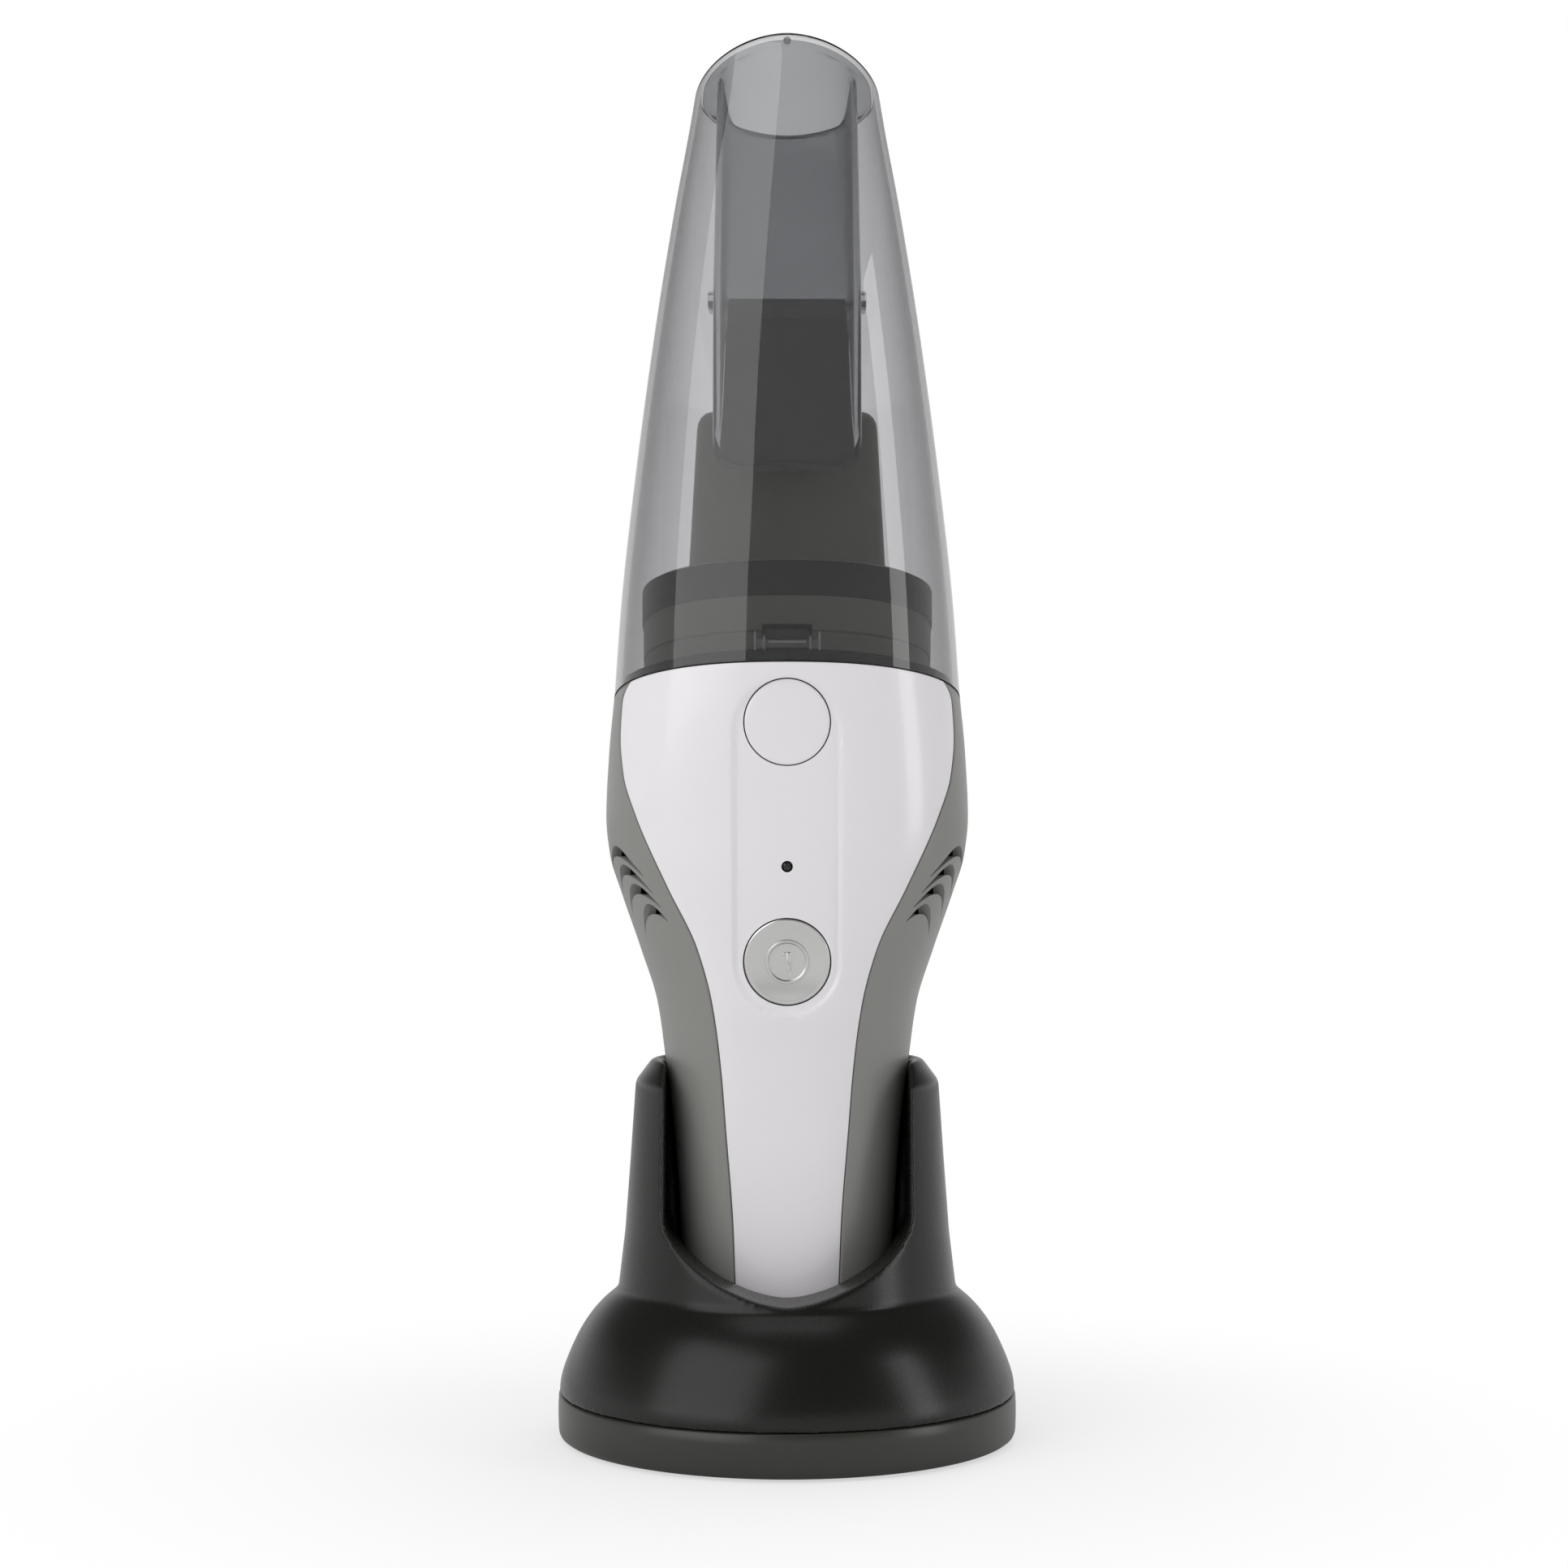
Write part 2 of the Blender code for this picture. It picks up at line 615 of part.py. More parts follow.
def cover_outline(grow=0.0):
    """The cover's outline seen from the front, closed above the joint and at the handle's end."""
    heights = np.array(COVER_STATIONS)[:, 0]
    fine = sorted(set(np.linspace(heights[0], heights[-1], 14)) | set(heights[-3:]))
    right = [(column(COVER_STATIONS, 1, height) + grow, height) for height in fine]
    above = JOINT_HEIGHT + CASING_CLEAR
    end = heights[0] - grow
    corner = COVER_STATIONS[0][1] + grow
    rounding = [(corner * sin(radians(turn)), end + COVER_ROUNDING * (1 - cos(radians(turn))))
                for turn in (0, 30, 60, 90)]
    step_in = COVER_STATIONS[-1][1] - COVER_STEP_IN + grow
    right = rounding + right[1:] + [(step_in, heights[-1] + COVER_STEP_UP), (step_in, above)]
    left = [(-x, height) for x, height in reversed(right) if x > 1e-6]
    return right + left


def capsule_outline(half_width, low, high, steps=8):
    """A capsule seen from the front, round at both ends."""
    top = [(half_width * cos(pi * i / steps), high + half_width * sin(pi * i / steps)) for i in range(steps + 1)]
    bottom = [(-half_width * cos(pi * i / steps), low - half_width * sin(pi * i / steps)) for i in range(steps + 1)]
    return top + bottom


def vent_outline(arc):
    """A crescent through three points, thick at its peak and thin at its ends."""
    start, peak, end = (Vector((y * MM, JOINT_HEIGHT - drop * MM)) for y, drop in arc)
    pull = 2 * peak - (start + end) / 2
    outer, inner = [], []
    for i in range(VENT_POINTS):
        t = i / (VENT_POINTS - 1)
        place = (1 - t) ** 2 * start + 2 * t * (1 - t) * pull + t * t * end
        width = VENT_END_WIDTH + (VENT_WIDTH - VENT_END_WIDTH) * sin(pi * t)
        outer.append((place.x, place.y))
        inner.append((place.x, place.y - width))
    return outer + list(reversed(inner))


def build_casing():
    """Left and right housings and the top cover, all cut from one shell."""
    above_joint = add_object("cut_casing_top", slab("cut_casing_top", casing_ring(JOINT_HEIGHT),
                                                    JOINT_HEIGHT - GAP / 2, JOINT_HEIGHT + CASING_CLEAR, -8 * MM))

    def shell(name, finish):
        item = add_object(name, loft(name, casing_rows(JOINT_HEIGHT + 1 * MM), close_top=False), finish)
        return cut_by(solidify(item, CASING_WALL), above_joint)

    outline = add_object("cut_cover_outline", prism("cut_cover_outline", cover_outline(), CUT_FRONT,
                                                    COVER_REACH, "Y"))
    wide_outline = add_object("cut_cover_outline_wide", prism("cut_cover_outline_wide", cover_outline(GAP),
                                                              CUT_FRONT, COVER_REACH + GAP, "Y"))
    core = add_object("cut_channel_core", loft("cut_channel_core", casing_rows(JOINT_HEIGHT, -CHANNEL_DEPTH)))
    channel = add_object("cut_channel", prism(
        "cut_channel", capsule_outline(CHANNEL_HALF_WIDTH, POWER_HEIGHT, RELEASE_HEIGHT - 3 * MM),
        CUT_FRONT, COVER_REACH, "Y"))
    cut_by(channel, core)

    cover = shell("top_cover", "white_gloss")
    combine(cover, outline, "INTERSECT")
    cut_by(cover, channel)
    for name, radius, height in (("release", RELEASE_RADIUS, RELEASE_HEIGHT),
                                 ("power", POWER_RADIUS, POWER_HEIGHT),
                                 ("light", LIGHT_RADIUS, LIGHT_HEIGHT)):
        steps = 12 if name == "light" else 32
        hole = cylinder("cut_" + name + "_hole", radius + GAP, CUT_FRONT, 2 * COVER_REACH, steps, ALONG_Y)
        cut_by(cover, add_object("cut_" + name + "_hole", hole, at=(0, 0, height)))

    for side, sign in (("left", -1), ("right", 1)):
        name = side + "_housing"
        housing = shell(name, "grey_satin")
        cut_by(housing, wide_outline)
        half = sorted((-sign * CUT_FAR, sign * GAP / 2))
        cut_by(housing, add_object("cut_half_" + side, box("cut_half_" + side, (half[0], -CUT_FAR, -CUT_FAR),
                                                           (half[1], CUT_FAR, JOINT_HEIGHT + CUT_FAR))))
        for i, arc in enumerate(VENT_ARCS, 1):
            reach = sorted(sign * along for along in VENT_REACH)
            label = "cut_vent_" + side + "_" + str(i)
            cut_by(housing, add_object(label, prism(label, vent_outline(arc), reach[0], reach[1], "X")))
        for i, (y, z) in enumerate(SCREW_PLACES, 1):
            outside = casing_surface_x(y, z)
            seat = screw_seat(y, z)
            reach = sorted((sign * GAP / 2, sign * (seat + CASING_WALL / 2)))
            label = "boss_" + side + "_" + str(i)
            joined_with(housing, add_object(label, cylinder(label, BOSS_RADIUS, reach[0], reach[1], 16, ALONG_X),
                                            at=(0, y, z)))
            label = "cut_screw_" + side + "_" + str(i)
            depth = sorted((-sign * 1 * MM, sign * (seat + 1 * MM if sign < 0 else SCREW_REACH + 1 * MM)))
            cut_by(housing, add_object(label, cylinder(label, SCREW_RADIUS + GAP, depth[0], depth[1], 12, ALONG_X),
                                       at=(0, y, z)))
            if sign < 0:
                label = "cut_head_" + str(i)
                cut_by(housing, add_object(label, cylinder(label, SCREW_HEAD_RADIUS + GAP, -outside - 6 * MM,
                                                           -seat, 16, ALONG_X), at=(0, y, z)))
        contact_hole = "cut_contact_" + side
        cut_by(housing, add_object(contact_hole, cylinder(contact_hole, CONTACT_RADIUS + GAP, HANDLE_BOTTOM - 2 * MM,
                                                          HANDLE_BOTTOM + 6 * MM, 16),
                                   at=(sign * CONTACT_X, BATTERY_Y, 0)))

    for i, (y, z) in enumerate(SCREW_PLACES, 1):
        seat = screw_seat(y, z) + GAP
        name = "housing_screw_" + str(i)
        shank = add_object(name, cylinder(name, SCREW_RADIUS, -seat, SCREW_REACH, 10, ALONG_X), "bright_steel",
                           at=(0, y, z))
        label = "head_" + name
        head = add_object(label, cylinder(label, SCREW_HEAD_RADIUS, -seat - SCREW_HEAD_LENGTH, -seat,
                                          12, ALONG_X), at=(0, y, z))
        joined_with(shank, head)


def build_buttons():
    """Power and release buttons, the status light and the release latch."""
    face = add_object("face_buttons", loft("face_buttons", casing_rows(JOINT_HEIGHT, -CHANNEL_DEPTH)))
    for name, radius, height, back, finish in (
            ("release_button", RELEASE_RADIUS, RELEASE_HEIGHT, RELEASE_BACK, "white_gloss"),
            ("power_button", POWER_RADIUS, POWER_HEIGHT, POWER_BACK, "silver_paint"),
            ("led_lens", LIGHT_RADIUS, LIGHT_HEIGHT, None, "black_satin")):
        steps = 12 if name == "led_lens" else 32
        if back is None:
            back = casing_ring(height).front + LIGHT_DEPTH
        item = add_object(name, cylinder(name, radius, CUT_FRONT, back, steps, ALONG_Y), finish, at=(0, 0, height))
        combine(item, face, "INTERSECT")

    front = RELEASE_BACK + GAP
    hook_low = LATCH_TOP - LATCH_HOOK_HEIGHT
    latch = add_object("release_latch", box("release_latch", (-LATCH_HALF_WIDTH, front, LATCH_BOTTOM),
                                            (LATCH_HALF_WIDTH, front + LATCH_THICKNESS, LATCH_TOP)), "black_satin")
    hook = add_object("latch_hook", box("latch_hook", (-LATCH_HALF_WIDTH, front - LATCH_HOOK_REACH, hook_low),
                                        (LATCH_HALF_WIDTH, front + LATCH_THICKNESS / 2, LATCH_TOP)))
    joined_with(latch, hook)


# ---------------------------------------------------------------- inside the hand unit

def build_bulkhead():
    """Bulkhead with the cup's collar and the inlet grille, and the seal round the collar."""
    ring = casing_ring(JOINT_HEIGHT)
    cup = cup_ring(COLLAR_TOP)._replace(slope=JOINT_SLOPE)
    collar_inset = CUP_WALL + GAP + SEAL_THICKNESS + GAP
    step = JOINT_HEIGHT - 2 * GAP
    rows = [(ring, BULKHEAD_BOTTOM, CASING_WALL + 2 * GAP), (ring, step, CASING_WALL + 2 * GAP),
            (cup, step, collar_inset), (cup, COLLAR_TOP, collar_inset)]
    bulkhead = add_object("bulkhead", loft("bulkhead", [ring_points(outline._replace(height=height), inset)
                                                        for outline, height, inset in rows]), "black_satin")
    hollow = add_object("cut_collar", slab("cut_collar", cup, BULKHEAD_BOTTOM + BULKHEAD_FLOOR,
                                           COLLAR_TOP - COLLAR_WALL, collar_inset + COLLAR_WALL))
    flange = filter_ring(COLLAR_TOP, FLANGE_HALF_WIDTH, FLANGE_DEPTH, FLANGE_Y, JOINT_SLOPE)
    mouth = add_object("cut_collar_mouth", slab("cut_collar_mouth", flange, COLLAR_TOP - COLLAR_WALL - 1 * MM,
                                                COLLAR_TOP + 5 * MM, GASKET_WIDTH - 0.5 * MM))
    slot = add_object("cut_latch_slot", box(
        "cut_latch_slot", (-LATCH_HALF_WIDTH - 0.6 * MM, RELEASE_BACK - 0.2 * MM, BULKHEAD_BOTTOM - CUT_BEYOND),
        (LATCH_HALF_WIDTH + 0.6 * MM, RELEASE_BACK + LATCH_THICKNESS + RELEASE_TRAVEL + 0.8 * MM, LATCH_TOP)))
    button_room = cylinder("cut_button_room", RELEASE_RADIUS + 2 * GAP, CUT_FRONT,
                           RELEASE_BACK + RELEASE_TRAVEL + 2 * GAP, 24, ALONG_Y)
    cut_by(bulkhead, hollow, mouth, slot, add_object("cut_button_room", button_room, at=(0, 0, RELEASE_HEIGHT)))
    places = [(0.0, 0.0)] + [(GRILLE_CIRCLE * cos(pi * i / 3), GRILLE_CIRCLE * sin(pi * i / 3)) for i in range(6)]
    for i, (x, y) in enumerate(places, 1):
        label = "cut_grille_" + str(i)
        cut_by(bulkhead, add_object(label, cylinder(label, GRILLE_HOLE, BULKHEAD_BOTTOM - CUT_BEYOND, COLLAR_TOP, 12),
                                    at=(x, y, 0)))
    add_object("cup_seal", band("cup_seal", cup, SEAL_LOW, SEAL_HIGH, CUP_WALL + GAP,
                                CUP_WALL + GAP + SEAL_THICKNESS), "black_rubber")


def build_fan():
    """Fan shroud, motor mount, motor, bearing, shaft and impeller."""
    top_of_mount = MOUNT_BOTTOM + MOUNT_THICKNESS
    shroud_low = top_of_mount + GAP
    inside = SHROUD_RADIUS - SHROUD_WALL
    turned("fan_shroud", [(SHROUD_INLET, SHROUD_TOP), (SHROUD_RADIUS - 2 * MM, SHROUD_TOP),
                          (SHROUD_RADIUS, SHROUD_TOP - 2 * MM), (SHROUD_RADIUS, shroud_low), (inside, shroud_low),
                          (inside, SHROUD_TOP - SHROUD_WALL - 1 * MM), (inside - 1 * MM, SHROUD_TOP - SHROUD_WALL),
                          (SHROUD_INLET, SHROUD_TOP - SHROUD_WALL)], "black_satin", 28, closed=True)

    mount = add_object("motor_mount", slab("motor_mount", casing_ring(MOUNT_BOTTOM, level=True), MOUNT_BOTTOM,
                                           top_of_mount, CASING_WALL + 0.8 * MM), "black_satin")
    centre = add_object("cut_mount_centre", cylinder("cut_mount_centre", BEARING_RADIUS + GAP, MOUNT_BOTTOM - 5 * MM,
                                                     top_of_mount + 5 * MM, 24))
    cut_by(mount, centre)
    for i in range(6):
        label = "cut_outlet_" + str(i + 1)
        turn = pi * (i + 0.5) / 3
        place = (OUTLET_CIRCLE * cos(turn), OUTLET_CIRCLE * sin(turn), 0)
        cut_by(mount, add_object(label, cylinder(label, OUTLET_HOLE, MOUNT_BOTTOM - CUT_BEYOND,
                                                 top_of_mount + CUT_BEYOND, 12), at=place))

    can_top = MOUNT_BOTTOM - GAP
    bore = SHAFT_RADIUS + GAP
    turned("motor_can", [(bore, can_top), (MOTOR_RADIUS - 1.5 * MM, can_top), (MOTOR_RADIUS, can_top - 1.5 * MM),
                         (MOTOR_RADIUS, can_top - MOTOR_LENGTH + 1.5 * MM),
                         (MOTOR_RADIUS - 1.5 * MM, can_top - MOTOR_LENGTH), (bore, can_top - MOTOR_LENGTH)],
           "bright_steel", 24, closed=True)
    turned("motor_bearing", [(bore, top_of_mount + 1 * MM), (BEARING_RADIUS, top_of_mount + 1 * MM),
                             (BEARING_RADIUS, MOUNT_BOTTOM), (bore, MOUNT_BOTTOM)], "brass", 16, closed=True)

    spin = add_joint_empty("motor_axis", (0, 0, IMPELLER_BOTTOM))
    shaft = add_object("motor_shaft", cylinder("motor_shaft", SHAFT_RADIUS, can_top - MOTOR_LENGTH + 2 * MM,
                                               IMPELLER_BOTTOM + 9 * MM, 16), "bright_steel")
    attach(shaft, spin)

    disc_top = IMPELLER_BOTTOM + IMPELLER_DISC
    hub_top = IMPELLER_BOTTOM + BLADE_HEIGHT + IMPELLER_DISC
    impeller = turned("impeller", [(bore, hub_top), (HUB_RADIUS - 1.5 * MM, hub_top), (HUB_RADIUS, hub_top - 3 * MM),
                                   (HUB_RADIUS + 1 * MM, disc_top), (IMPELLER_RADIUS, disc_top),
                                   (IMPELLER_RADIUS, IMPELLER_BOTTOM), (bore, IMPELLER_BOTTOM)],
                      "black_satin", 24, closed=True)
    joined_with(impeller, add_object("impeller_blades", blade_mesh(disc_top - 0.5 * MM, hub_top)))
    attach(impeller, spin)


def blade_mesh(low, high):
    """Backward-curved blades, each a bent strip with square ends, out from the hub to the disc's rim."""
    shape = bmesh.new()
    steps = 5
    inner, outer = HUB_RADIUS - 0.8 * MM, IMPELLER_RADIUS - 0.8 * MM
    for blade in range(BLADE_COUNT):
        start = 2 * pi * blade / BLADE_COUNT
        left, right = [], []
        for i in range(steps + 1):
            t = i / steps
            radius = inner + (outer - inner) * t
            turn = start - BLADE_SWEEP * t ** 1.3
            half = BLADE_THICKNESS / 2 / radius
            left.append((radius * cos(turn + half), radius * sin(turn + half)))
            right.append((radius * cos(turn - half), radius * sin(turn - half)))
        face = shape.faces.new([shape.verts.new((x, y, low)) for x, y in left + list(reversed(right))])
        moved = bmesh.ops.extrude_face_region(shape, geom=[face])
        bmesh.ops.translate(shape, vec=(0, 0, high - low), verts=[item for item in moved["geom"]
                                                                  if isinstance(item, bmesh.types.BMVert)])
    bmesh.ops.recalc_face_normals(shape, faces=shape.faces[:])
    return finish_mesh("impeller_blades", shape)


def build_battery():
    """Cells in their holder, the circuit board, its switch and the charge contacts."""
    holder = add_object("battery_holder", slab("battery_holder", casing_ring(HANDLE_BOTTOM + HANDLE_ROUNDING),
                                               HOLDER_BOTTOM, HOLDER_BOTTOM + HOLDER_PLATE,
                                               CASING_WALL + 0.8 * MM), "black_satin")
    top = add_object("holder_top", slab("holder_top", casing_ring(HOLDER_UPPER, level=True), HOLDER_UPPER,
                                        HOLDER_UPPER + HOLDER_PLATE, CASING_WALL + 0.8 * MM))
    post = add_object("holder_post", cylinder("holder_post", HOLDER_POST, HOLDER_BOTTOM + HOLDER_PLATE / 3,
                                              HOLDER_UPPER + HOLDER_PLATE * 2 / 3, 12), at=(0, BATTERY_Y, 0))
    joined_with(holder, post, top)
    for i in range(4):
        name = "battery_cell_" + str(i + 1)
        x = CELL_SPACING * (1 if i % 2 else -1)
        y = BATTERY_Y + CELL_SPACING * (1 if i > 1 else -1)
        add_object(name, cylinder(name, CELL_RADIUS, CELL_LOW, CELL_LOW + CELL_LENGTH, 16, bevel=0.6 * MM),
                   "cell_sleeve", at=(x, y, 0))

    board_low = HOLDER_UPPER + HOLDER_PLATE + GAP
    board_front = CASING_WALL + BOARD_CLEARANCE - BOARD_THICKNESS / 2 - column(CASING_STATIONS, 2, board_low)
    add_object("circuit_board", box("circuit_board", (-BOARD_HALF_WIDTH, board_front, board_low),
                                    (BOARD_HALF_WIDTH, board_front + BOARD_THICKNESS, BOARD_TOP)), "green_board")
    switch_front = POWER_BACK + POWER_TRAVEL + GAP
    add_object("power_switch", box("power_switch", (-SWITCH_HALF, switch_front, POWER_HEIGHT - SWITCH_HALF),
                                   (SWITCH_HALF, board_front - GAP, POWER_HEIGHT + SWITCH_HALF)),
               "black_satin")
    for side, sign in (("left", -1), ("right", 1)):
        name = "charge_contact_" + side
        add_object(name, cylinder(name, CONTACT_RADIUS, HANDLE_BOTTOM, HANDLE_BOTTOM + CONTACT_LENGTH, 16),
                   "brass", at=(sign * CONTACT_X, BATTERY_Y, 0))


# ---------------------------------------------------------------- dust cup

def duct_ring(stations_index):
    """One of the duct's sections."""
    drop, half_width, front, back, slope, power = DUCT_STATIONS[stations_index]
    return Ring(CUP_TOP - drop, half_width, front, (front + back) / 2, back, slope, power)


def duct_end():
    """Direction down along the duct's slanted end, its outward direction, and the hinge axis."""
    end = duct_ring(0)
    along = Vector((0, -1, end.slope)).normalized()
    outward = Vector((0, -along.z, along.y))
    back_edge = Vector((0, end.back, end.height - end.slope * end.back))
    axis = back_edge - along * HINGE_BEYOND + outward * HINGE_OFFSET
    return along, outward, axis


def build_cup():
    """Cup shell, inlet duct with its lip, the flap and its hinge pin."""
    slide = add_joint_empty("cup_slide", (0, 0, JOINT_HEIGHT))
    cup = add_object("dust_cup", loft("dust_cup", cup_rows(JOINT_HEIGHT - 1 * MM, CUP_TOP), False, False),
                     "smoky_clear")
    solidify(cup, CUP_WALL)
    trim = slab("cut_cup_foot", casing_ring(JOINT_HEIGHT), JOINT_HEIGHT - CASING_CLEAR, JOINT_HEIGHT + GAP / 2, -8 * MM)
    cut_by(cup, add_object("cut_cup_foot", trim))
    hook_front = RELEASE_BACK + GAP - LATCH_HOOK_REACH
    ledge_top = LATCH_TOP - LATCH_HOOK_HEIGHT - GAP
    section = cup_ring(ledge_top - JOINT_SLOPE * JOINT_FRONT)
    ledge = add_object("cup_ledge", box("cup_ledge", (-LEDGE_HALF_WIDTH, section.front + CUP_WALL / 2,
                                                      ledge_top - LEDGE_HEIGHT),
                                        (LEDGE_HALF_WIDTH, hook_front - GAP, ledge_top)))
    joined_with(cup, ledge)
    attach(cup, slide)

    end = duct_ring(0)
    rows = [ring_points(end._replace(height=end.height - 1 * MM))]
    rows += [ring_points(duct_ring(i)) for i in range(1, len(DUCT_STATIONS))]
    mouth = cup_ring(CUP_TOP)
    rows.append(ring_points(mouth._replace(height=CUP_TOP - LIP_SETBACK), CUP_WALL + 2 * GAP))
    duct = add_object("inlet_duct", loft("inlet_duct", rows, False, False), "smoky_clear")
    solidify(duct, DUCT_WALL)
    below_end = slab("cut_duct_end", end, end.height - 30 * MM, end.height, -3 * MM)
    cut_by(duct, add_object("cut_duct_end", below_end))

    along, outward, axis = duct_end()
    half = duct_ring(0).half_width
    for side, sign in (("left", -1), ("right", 1)):
        x = sorted((sign * (half - 1.4 * MM), sign * (half + 2.0 * MM)))
        label = "duct_ear_" + side
        low = (x[0], axis.y - 8.0 * MM, axis.z - 2.6 * MM)
        high = (x[1], axis.y + 2.6 * MM, axis.z + 2.6 * MM)
        joined_with(duct, add_object(label, box(label, low, high)))
    turn = Matrix.Translation(axis) @ ALONG_X
    cut_by(duct, add_object("cut_pin_hole", cylinder("cut_pin_hole", HINGE_PIN_RADIUS + GAP, -30 * MM, 30 * MM,
                                                     12, turn)))
    barrel_room = cylinder("cut_barrel_room", HINGE_BARREL_RADIUS + 2 * GAP, -half + 1.2 * MM, half - 1.2 * MM,
                           16, turn)
    cut_by(duct, add_object("cut_barrel_room", barrel_room))
    attach(duct, slide)

    pin = add_object("flap_hinge_pin", cylinder("flap_hinge_pin", HINGE_PIN_RADIUS, -half - 1.6 * MM,
                                                half + 1.6 * MM, 12, ALONG_X), "bright_steel", at=axis)
    attach(pin, slide)
    build_flap(along, outward, axis, slide)


def build_flap(along, outward, axis, slide):
    """The rubber flap: a plate with rounded corners under the duct's end, and its hinge barrel."""
    hinge = add_joint_empty("flap_hinge", axis, slide)
    near = HINGE_OFFSET - GAP
    shape = bmesh.new()
    start = 0.4 * MM
    corners = [(-FLAP_HALF_WIDTH, start), (FLAP_HALF_WIDTH, start)]
    for sign in (1, -1):
        for i in range(5):
            turn = radians(90 * i / 4) if sign > 0 else radians(90 - 90 * i / 4)
            corners.append((sign * (FLAP_HALF_WIDTH - FLAP_CORNER + FLAP_CORNER * cos(turn)),
                            FLAP_LENGTH - FLAP_CORNER + FLAP_CORNER * sin(turn)))
    face = shape.faces.new([shape.verts.new(Vector((x, 0, 0)) + along * run - outward * near)
                            for x, run in corners])
    moved = bmesh.ops.extrude_face_region(shape, geom=[face])
    bmesh.ops.translate(shape, vec=outward * FLAP_THICKNESS, verts=[item for item in moved["geom"]
                                                                    if isinstance(item, bmesh.types.BMVert)])
    bmesh.ops.recalc_face_normals(shape, faces=shape.faces[:])
    flap = add_object("flap_valve", finish_mesh("flap_valve", shape), "black_rubber", at=axis)
    barrel = add_object("flap_barrel", cylinder("flap_barrel", HINGE_BARREL_RADIUS, -FLAP_HALF_WIDTH + 0.5 * MM,
                                                FLAP_HALF_WIDTH - 0.5 * MM, 16, ALONG_X), at=axis)
    bore = add_object("cut_flap_bore", cylinder("cut_flap_bore", HINGE_PIN_RADIUS + GAP, -30 * MM, 30 * MM, 12,
                                                ALONG_X), at=axis)
    joined_with(flap, barrel)
    cut_by(flap, bore)
    attach(flap, hinge)


def filter_ring(height, half_width, half_depth, middle, slope, power=2.3):
    """A section of the filter."""
    return Ring(height, half_width, middle - half_depth, middle, middle + half_depth, slope, power)


def build_filter():
    """Filter frame with its flange, the element inside it and the gasket under it."""
    slide = add_joint_empty("filter_slide", (0, 0, FLANGE_LOW))
    low = FILTER_LOW_HALF_WIDTH
    top = FILTER_TOP_HALF_WIDTH
    depth = FILTER_HALF_DEPTH
    path = [
        filter_ring(FLANGE_LOW, FLANGE_HALF_WIDTH, FLANGE_DEPTH, FLANGE_Y, JOINT_SLOPE),
        filter_ring(FLANGE_HIGH, FLANGE_HALF_WIDTH, FLANGE_DEPTH, FLANGE_Y, JOINT_SLOPE),
        filter_ring(FLANGE_HIGH + 1 * MM, FLANGE_HALF_WIDTH - 1.5 * MM, FLANGE_DEPTH - 1.5 * MM, FLANGE_Y,
                    JOINT_SLOPE),
        filter_ring(FLANGE_HIGH + 3 * MM, low + 1 * MM, depth + 1 * MM, FILTER_Y, JOINT_SLOPE),
        filter_ring(FLANGE_HIGH + 6 * MM, low, depth, FILTER_Y, 0.10),
        filter_ring(FILTER_TOP - FILTER_SHOULDER, top, depth - 1 * MM, FILTER_Y, FILTER_TILT),
        filter_ring(FILTER_TOP - 1 * MM, top - 4.0 * MM, depth - 4.5 * MM, FILTER_Y, FILTER_TILT),
    ]
    frame = add_object("filter_frame", loft("filter_frame", [ring_points(ring) for ring in path], False, True),
                       "olive_plastic")
    solidify(frame, FILTER_WALL)
    notch = add_object("cut_latch_notch", box(
        "cut_latch_notch", (-LATCH_HALF_WIDTH - 1 * MM, -60 * MM, FLANGE_LOW - 5 * MM),
        (LATCH_HALF_WIDTH + 1 * MM, RELEASE_BACK + LATCH_THICKNESS + RELEASE_TRAVEL + 1.5 * MM, FLANGE_HIGH + 25 * MM)))
    cut_by(frame, notch)
    attach(frame, slide)

    inset = FILTER_WALL + ELEMENT_CLEARANCE
    element = add_object("filter_element", loft("filter_element", [
        ring_points(filter_ring(FLANGE_LOW + 4 * MM, low, depth, FILTER_Y, 0.10), inset),
        ring_points(filter_ring(FLANGE_HIGH + 7 * MM, low, depth, FILTER_Y, 0.10), inset),
        ring_points(filter_ring(FILTER_TOP - FILTER_SHOULDER - 1 * MM, top, depth - 1 * MM, FILTER_Y, FILTER_TILT),
                    inset + 0.4 * MM)]), "filter_cloth")
    attach(element, slide)

    gasket = add_object("filter_gasket", band(
        "filter_gasket", filter_ring(FLANGE_LOW, FLANGE_HALF_WIDTH, FLANGE_DEPTH, FLANGE_Y, JOINT_SLOPE),
        FLANGE_LOW - 2 * GAP - GASKET_HEIGHT, FLANGE_LOW - 2 * GAP, 0.0, GASKET_WIDTH), "black_rubber")
    gasket_notch = add_object("cut_gasket_notch", box(
        "cut_gasket_notch", (-LATCH_HALF_WIDTH - 1 * MM, -60 * MM, FLANGE_LOW - 20 * MM),
        (LATCH_HALF_WIDTH + 1 * MM, -20 * MM, FLANGE_HIGH + 25 * MM)))
    cut_by(gasket, gasket_notch)
    attach(gasket, slide)


# ---------------------------------------------------------------- stand

def scoop_outline(grow=0.0):
    """The cradle's front opening seen from the front, a U with a full curve."""
    half = SCOOP_HALF_WIDTH + grow
    steps = 9
    right = [(half, CRADLE_TOP + CASING_CLEAR)]
    for i in range(steps + 1):
        turn = pi / 2 * i / steps
        right.append((half * cos(turn) ** (2 / SCOOP_POWER),
                      SCOOP_HEIGHT - (SCOOP_DEPTH + grow) * sin(turn) ** (2 / SCOOP_POWER)))
    right[-1] = (0.0, SCOOP_HEIGHT - SCOOP_DEPTH - grow)
    left = [(-x, z) for x, z in reversed(right) if x > 1e-6]
    return right + left


